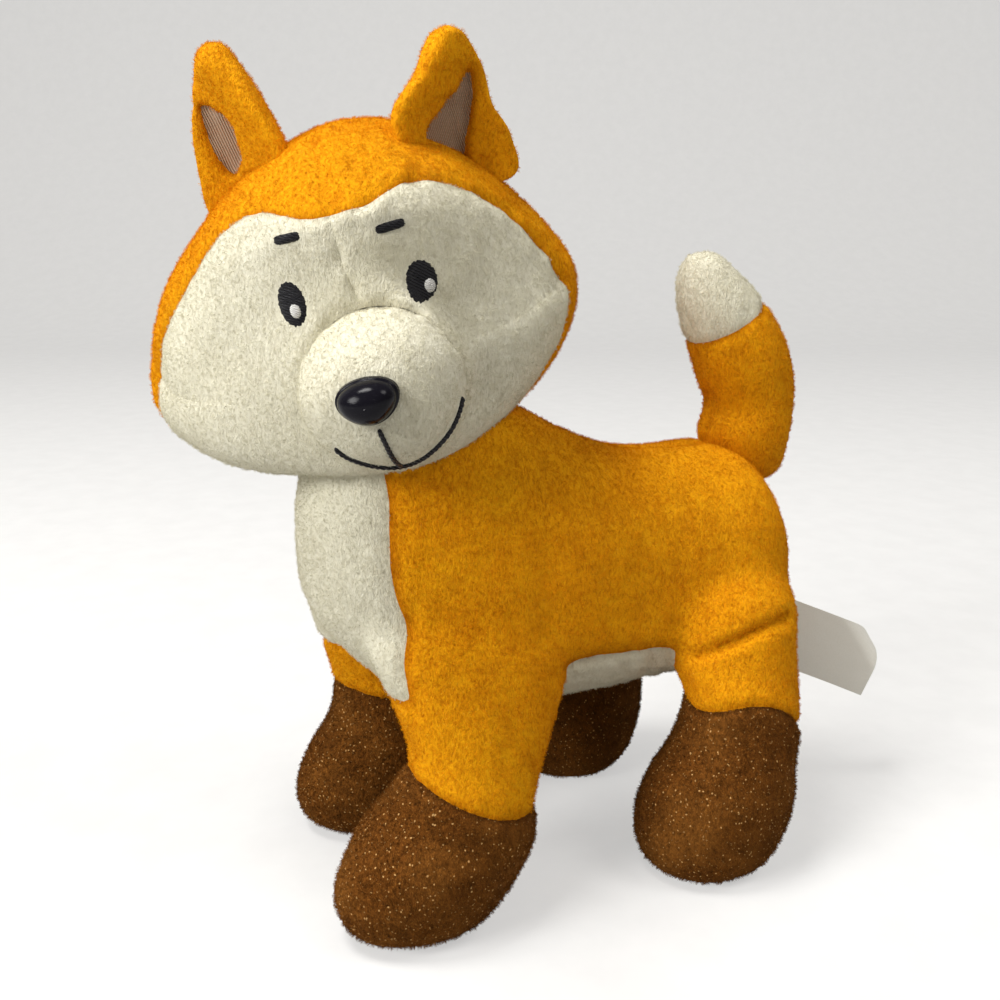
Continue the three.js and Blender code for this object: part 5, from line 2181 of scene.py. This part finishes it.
@dataclass(frozen=True)
class Studio:
    """The camera, the lights and the pale setting.

    Args:
        eye: The camera's place in the part's frame, in millimetres.
        azimuth: How far round to the left of straight ahead it looks from, in degrees.
        pitch: How far down it looks, in degrees.
        focal: Its focal length as a share of the image's width.
        target: What the lights point at, in metres.
        near: Where the floor starts, behind the camera, in metres.
        far: Where it begins to bend up.
        bend: The bend's radius.
        top: How high the backdrop reaches.
        reach: Half its width.
    """

    eye: Place = (205, -104, 137)
    azimuth: float = 66
    pitch: float = 13.6
    focal: float = 1.05
    target: Place = (0.0, -0.01, 0.08)
    near: float = -3.0
    far: float = 1.2
    bend: float = 0.6
    top: float = 3.0
    reach: float = 3.5

    def camera(self, shop: Workshop) -> bpy.types.Object:
        """Makes the camera at the photograph's viewing angle.

        Args:
            shop: Gives the frame's offset.

        Returns:
            The camera.
        """
        data = bpy.data.cameras.new("camera")
        data.sensor_width = 36
        data.lens = 36 * self.focal
        data.clip_start = 0.01
        azimuth, pitch = math.radians(self.azimuth), math.radians(self.pitch)
        level = math.cos(pitch)
        ahead = Vector((-math.sin(azimuth) * level, math.cos(azimuth) * level, -math.sin(pitch)))
        made = bpy.data.objects.new("camera", data)
        made.location = (np.array(self.eye) + shop.shift) * MM
        made.rotation_euler = ahead.to_track_quat("-Z", "Y").to_euler()
        bpy.context.scene.collection.objects.link(made)
        bpy.context.scene.camera = made
        return made

    def light(self, name: str, place: Place, size: float, watts: float, colour: Colour) -> None:
        """Makes one soft light.

        Args:
            name: Its name.
            place: Where it is, in metres.
            size: Its width.
            watts: Its power.
            colour: Its colour.
        """
        data = bpy.data.lights.new(name, "AREA")
        data.shape = "DISK"
        data.size = size
        data.energy = watts
        data.color = colour
        made = bpy.data.objects.new(name, data)
        made.location = place
        made.rotation_euler = (Vector(self.target) - Vector(place)).to_track_quat("-Z", "Y").to_euler()
        bpy.context.scene.collection.objects.link(made)

    def lights(self) -> None:
        """Makes the soft studio light."""
        bpy.context.scene.view_settings.view_transform = "Standard"
        self.light("key", (0.0, -0.35, 1.03), 0.4, 8.1, (1.0, 0.985, 0.96))
        self.light("side", (0.25, -0.93, 0.55), 0.45, 8.5, (1.0, 0.99, 0.975))
        self.light("back", (0.5, 0.5, 0.95), 0.45, 3.5, (1.0, 0.985, 0.96))
        world = bpy.data.worlds.new("studio")
        world.use_nodes = True
        world.node_tree.nodes.clear()
        nodes = Nodes(world.node_tree)
        soft = nodes.add("ShaderNodeBackground", Color=(1.0, 0.93, 0.85, 1.0), Strength=0.27)
        pale = nodes.add("ShaderNodeBackground", Color=(0.75, 0.75, 0.74, 1.0), Strength=1.0)
        seen = nodes.add("ShaderNodeLightPath").outputs["Is Camera Ray"]
        both = nodes.add("ShaderNodeMixShader", in_0=seen, in_1=soft.outputs[0], in_2=pale.outputs[0])
        nodes.add("ShaderNodeOutputWorld", Surface=both.outputs[0])
        bpy.context.scene.world = world

    def setting(self) -> None:
        """Makes the pale floor and backdrop in one swept sheet."""
        profile = [(self.near, 0.0), (self.far, 0.0)]
        for angle in np.linspace(0, math.pi / 2, 13)[1:]:
            profile.append((self.far + self.bend * math.sin(angle), self.bend - self.bend * math.cos(angle)))
        profile.append((self.far + self.bend, self.top))
        azimuth = math.radians(self.azimuth)
        ahead = np.array([-math.sin(azimuth), math.cos(azimuth), 0])
        side = np.array([ahead[1], -ahead[0], 0])
        edges = (-side * self.reach, side * self.reach)
        points = [ahead * far + edge + Z_AXIS * up for far, up in profile for edge in edges]
        faces = [(2 * k, 2 * k + 1, 2 * k + 3, 2 * k + 2) for k in range(len(profile) - 1)]
        mesh = bpy.data.meshes.new("backdrop")
        mesh.from_pydata([tuple(p) for p in points], [], faces)
        mesh.shade_smooth()
        mesh.materials.append(self.paper())
        made = bpy.data.objects.new("backdrop", mesh)
        bpy.context.scene.collection.objects.link(made)
        made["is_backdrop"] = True

    @staticmethod
    def paper() -> bpy.types.Material:
        """A pale paper that looks nearly white to the camera and keeps the shadow.

        Returns:
            The material.
        """
        made, nodes = empty_material("backdrop_paper")
        where = nodes.add("ShaderNodeTexCoord").outputs["Object"]
        grain = nodes.noise(where, 60.0, 4.0, 0.6)
        shade = nodes.range(grain, 0.2, 0.8, 0.0, 1.0)
        tint = nodes.mix(shade, (0.38, 0.38, 0.375, 1), (0.42, 0.42, 0.415, 1))
        skin = nodes.add("ShaderNodeBsdfPrincipled", Base_Color=tint, Roughness=0.9, Specular_IOR_Level=0.1)
        glow = nodes.add("ShaderNodeEmission", Color=(1.0, 0.995, 0.985, 1.0), Strength=0.5)
        path = nodes.add("ShaderNodeLightPath")
        seen = nodes.math("MAXIMUM", path.outputs["Is Camera Ray"], path.outputs["Is Glossy Ray"])
        seen = nodes.math("MAXIMUM", seen, path.outputs["Is Transmission Ray"])
        lit = nodes.add("ShaderNodeAddShader", in_0=skin.outputs[0], in_1=glow.outputs[0])
        both = nodes.add("ShaderNodeMixShader", in_0=seen, in_1=skin.outputs[0], in_2=lit.outputs[0])
        nodes.add("ShaderNodeOutputMaterial", Surface=both.outputs[0])
        return made


def corners() -> list[list[float]]:
    """Reads the box round the part."""
    return [[float(value) for value in corner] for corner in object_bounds()]


def main() -> None:
    """Builds the fox in order: setting, body, tail, head, ears, label."""
    logging.basicConfig(level=logging.INFO, format="%(name)s %(message)s")
    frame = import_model()
    listed = frame["record"]["behaviour"]["joints"]
    joints = {joint["name"]: np.array(joint["pos_m"]) / MM for joint in listed}
    tail = TailSizes()
    shift = joints["tail_sway"] - np.array(tail.root)
    shop = Workshop(shift)
    LOG.info("shift %s", shift.round(3))
    studio = Studio()
    studio.camera(shop)
    studio.lights()
    studio.setting()
    BodyForm().build(shop)
    tail.build(shop)
    head = HeadForm()
    stitching = Stitching()
    head.build(shop, stitching.covered())
    NoseSizes().build(shop, head)
    stitching.build(shop, head)
    EarSizes(1, 10, LEFT_LINING, 0.89, 0.3, 0.34).build(shop, head, joints["left_ear_flex"] - shift)
    EarSizes(-1, 3, RIGHT_LINING).build(shop, head, joints["right_ear_flex"] - shift)
    LabelSizes().build(shop, joints["label_swing"] - shift)
    washer = frame["nodes"]["nose_washer"]
    washer.data.materials.clear()
    washer.data.materials.append(CLEAR_PLASTIC.material())


if __name__ == "__main__":
    main()
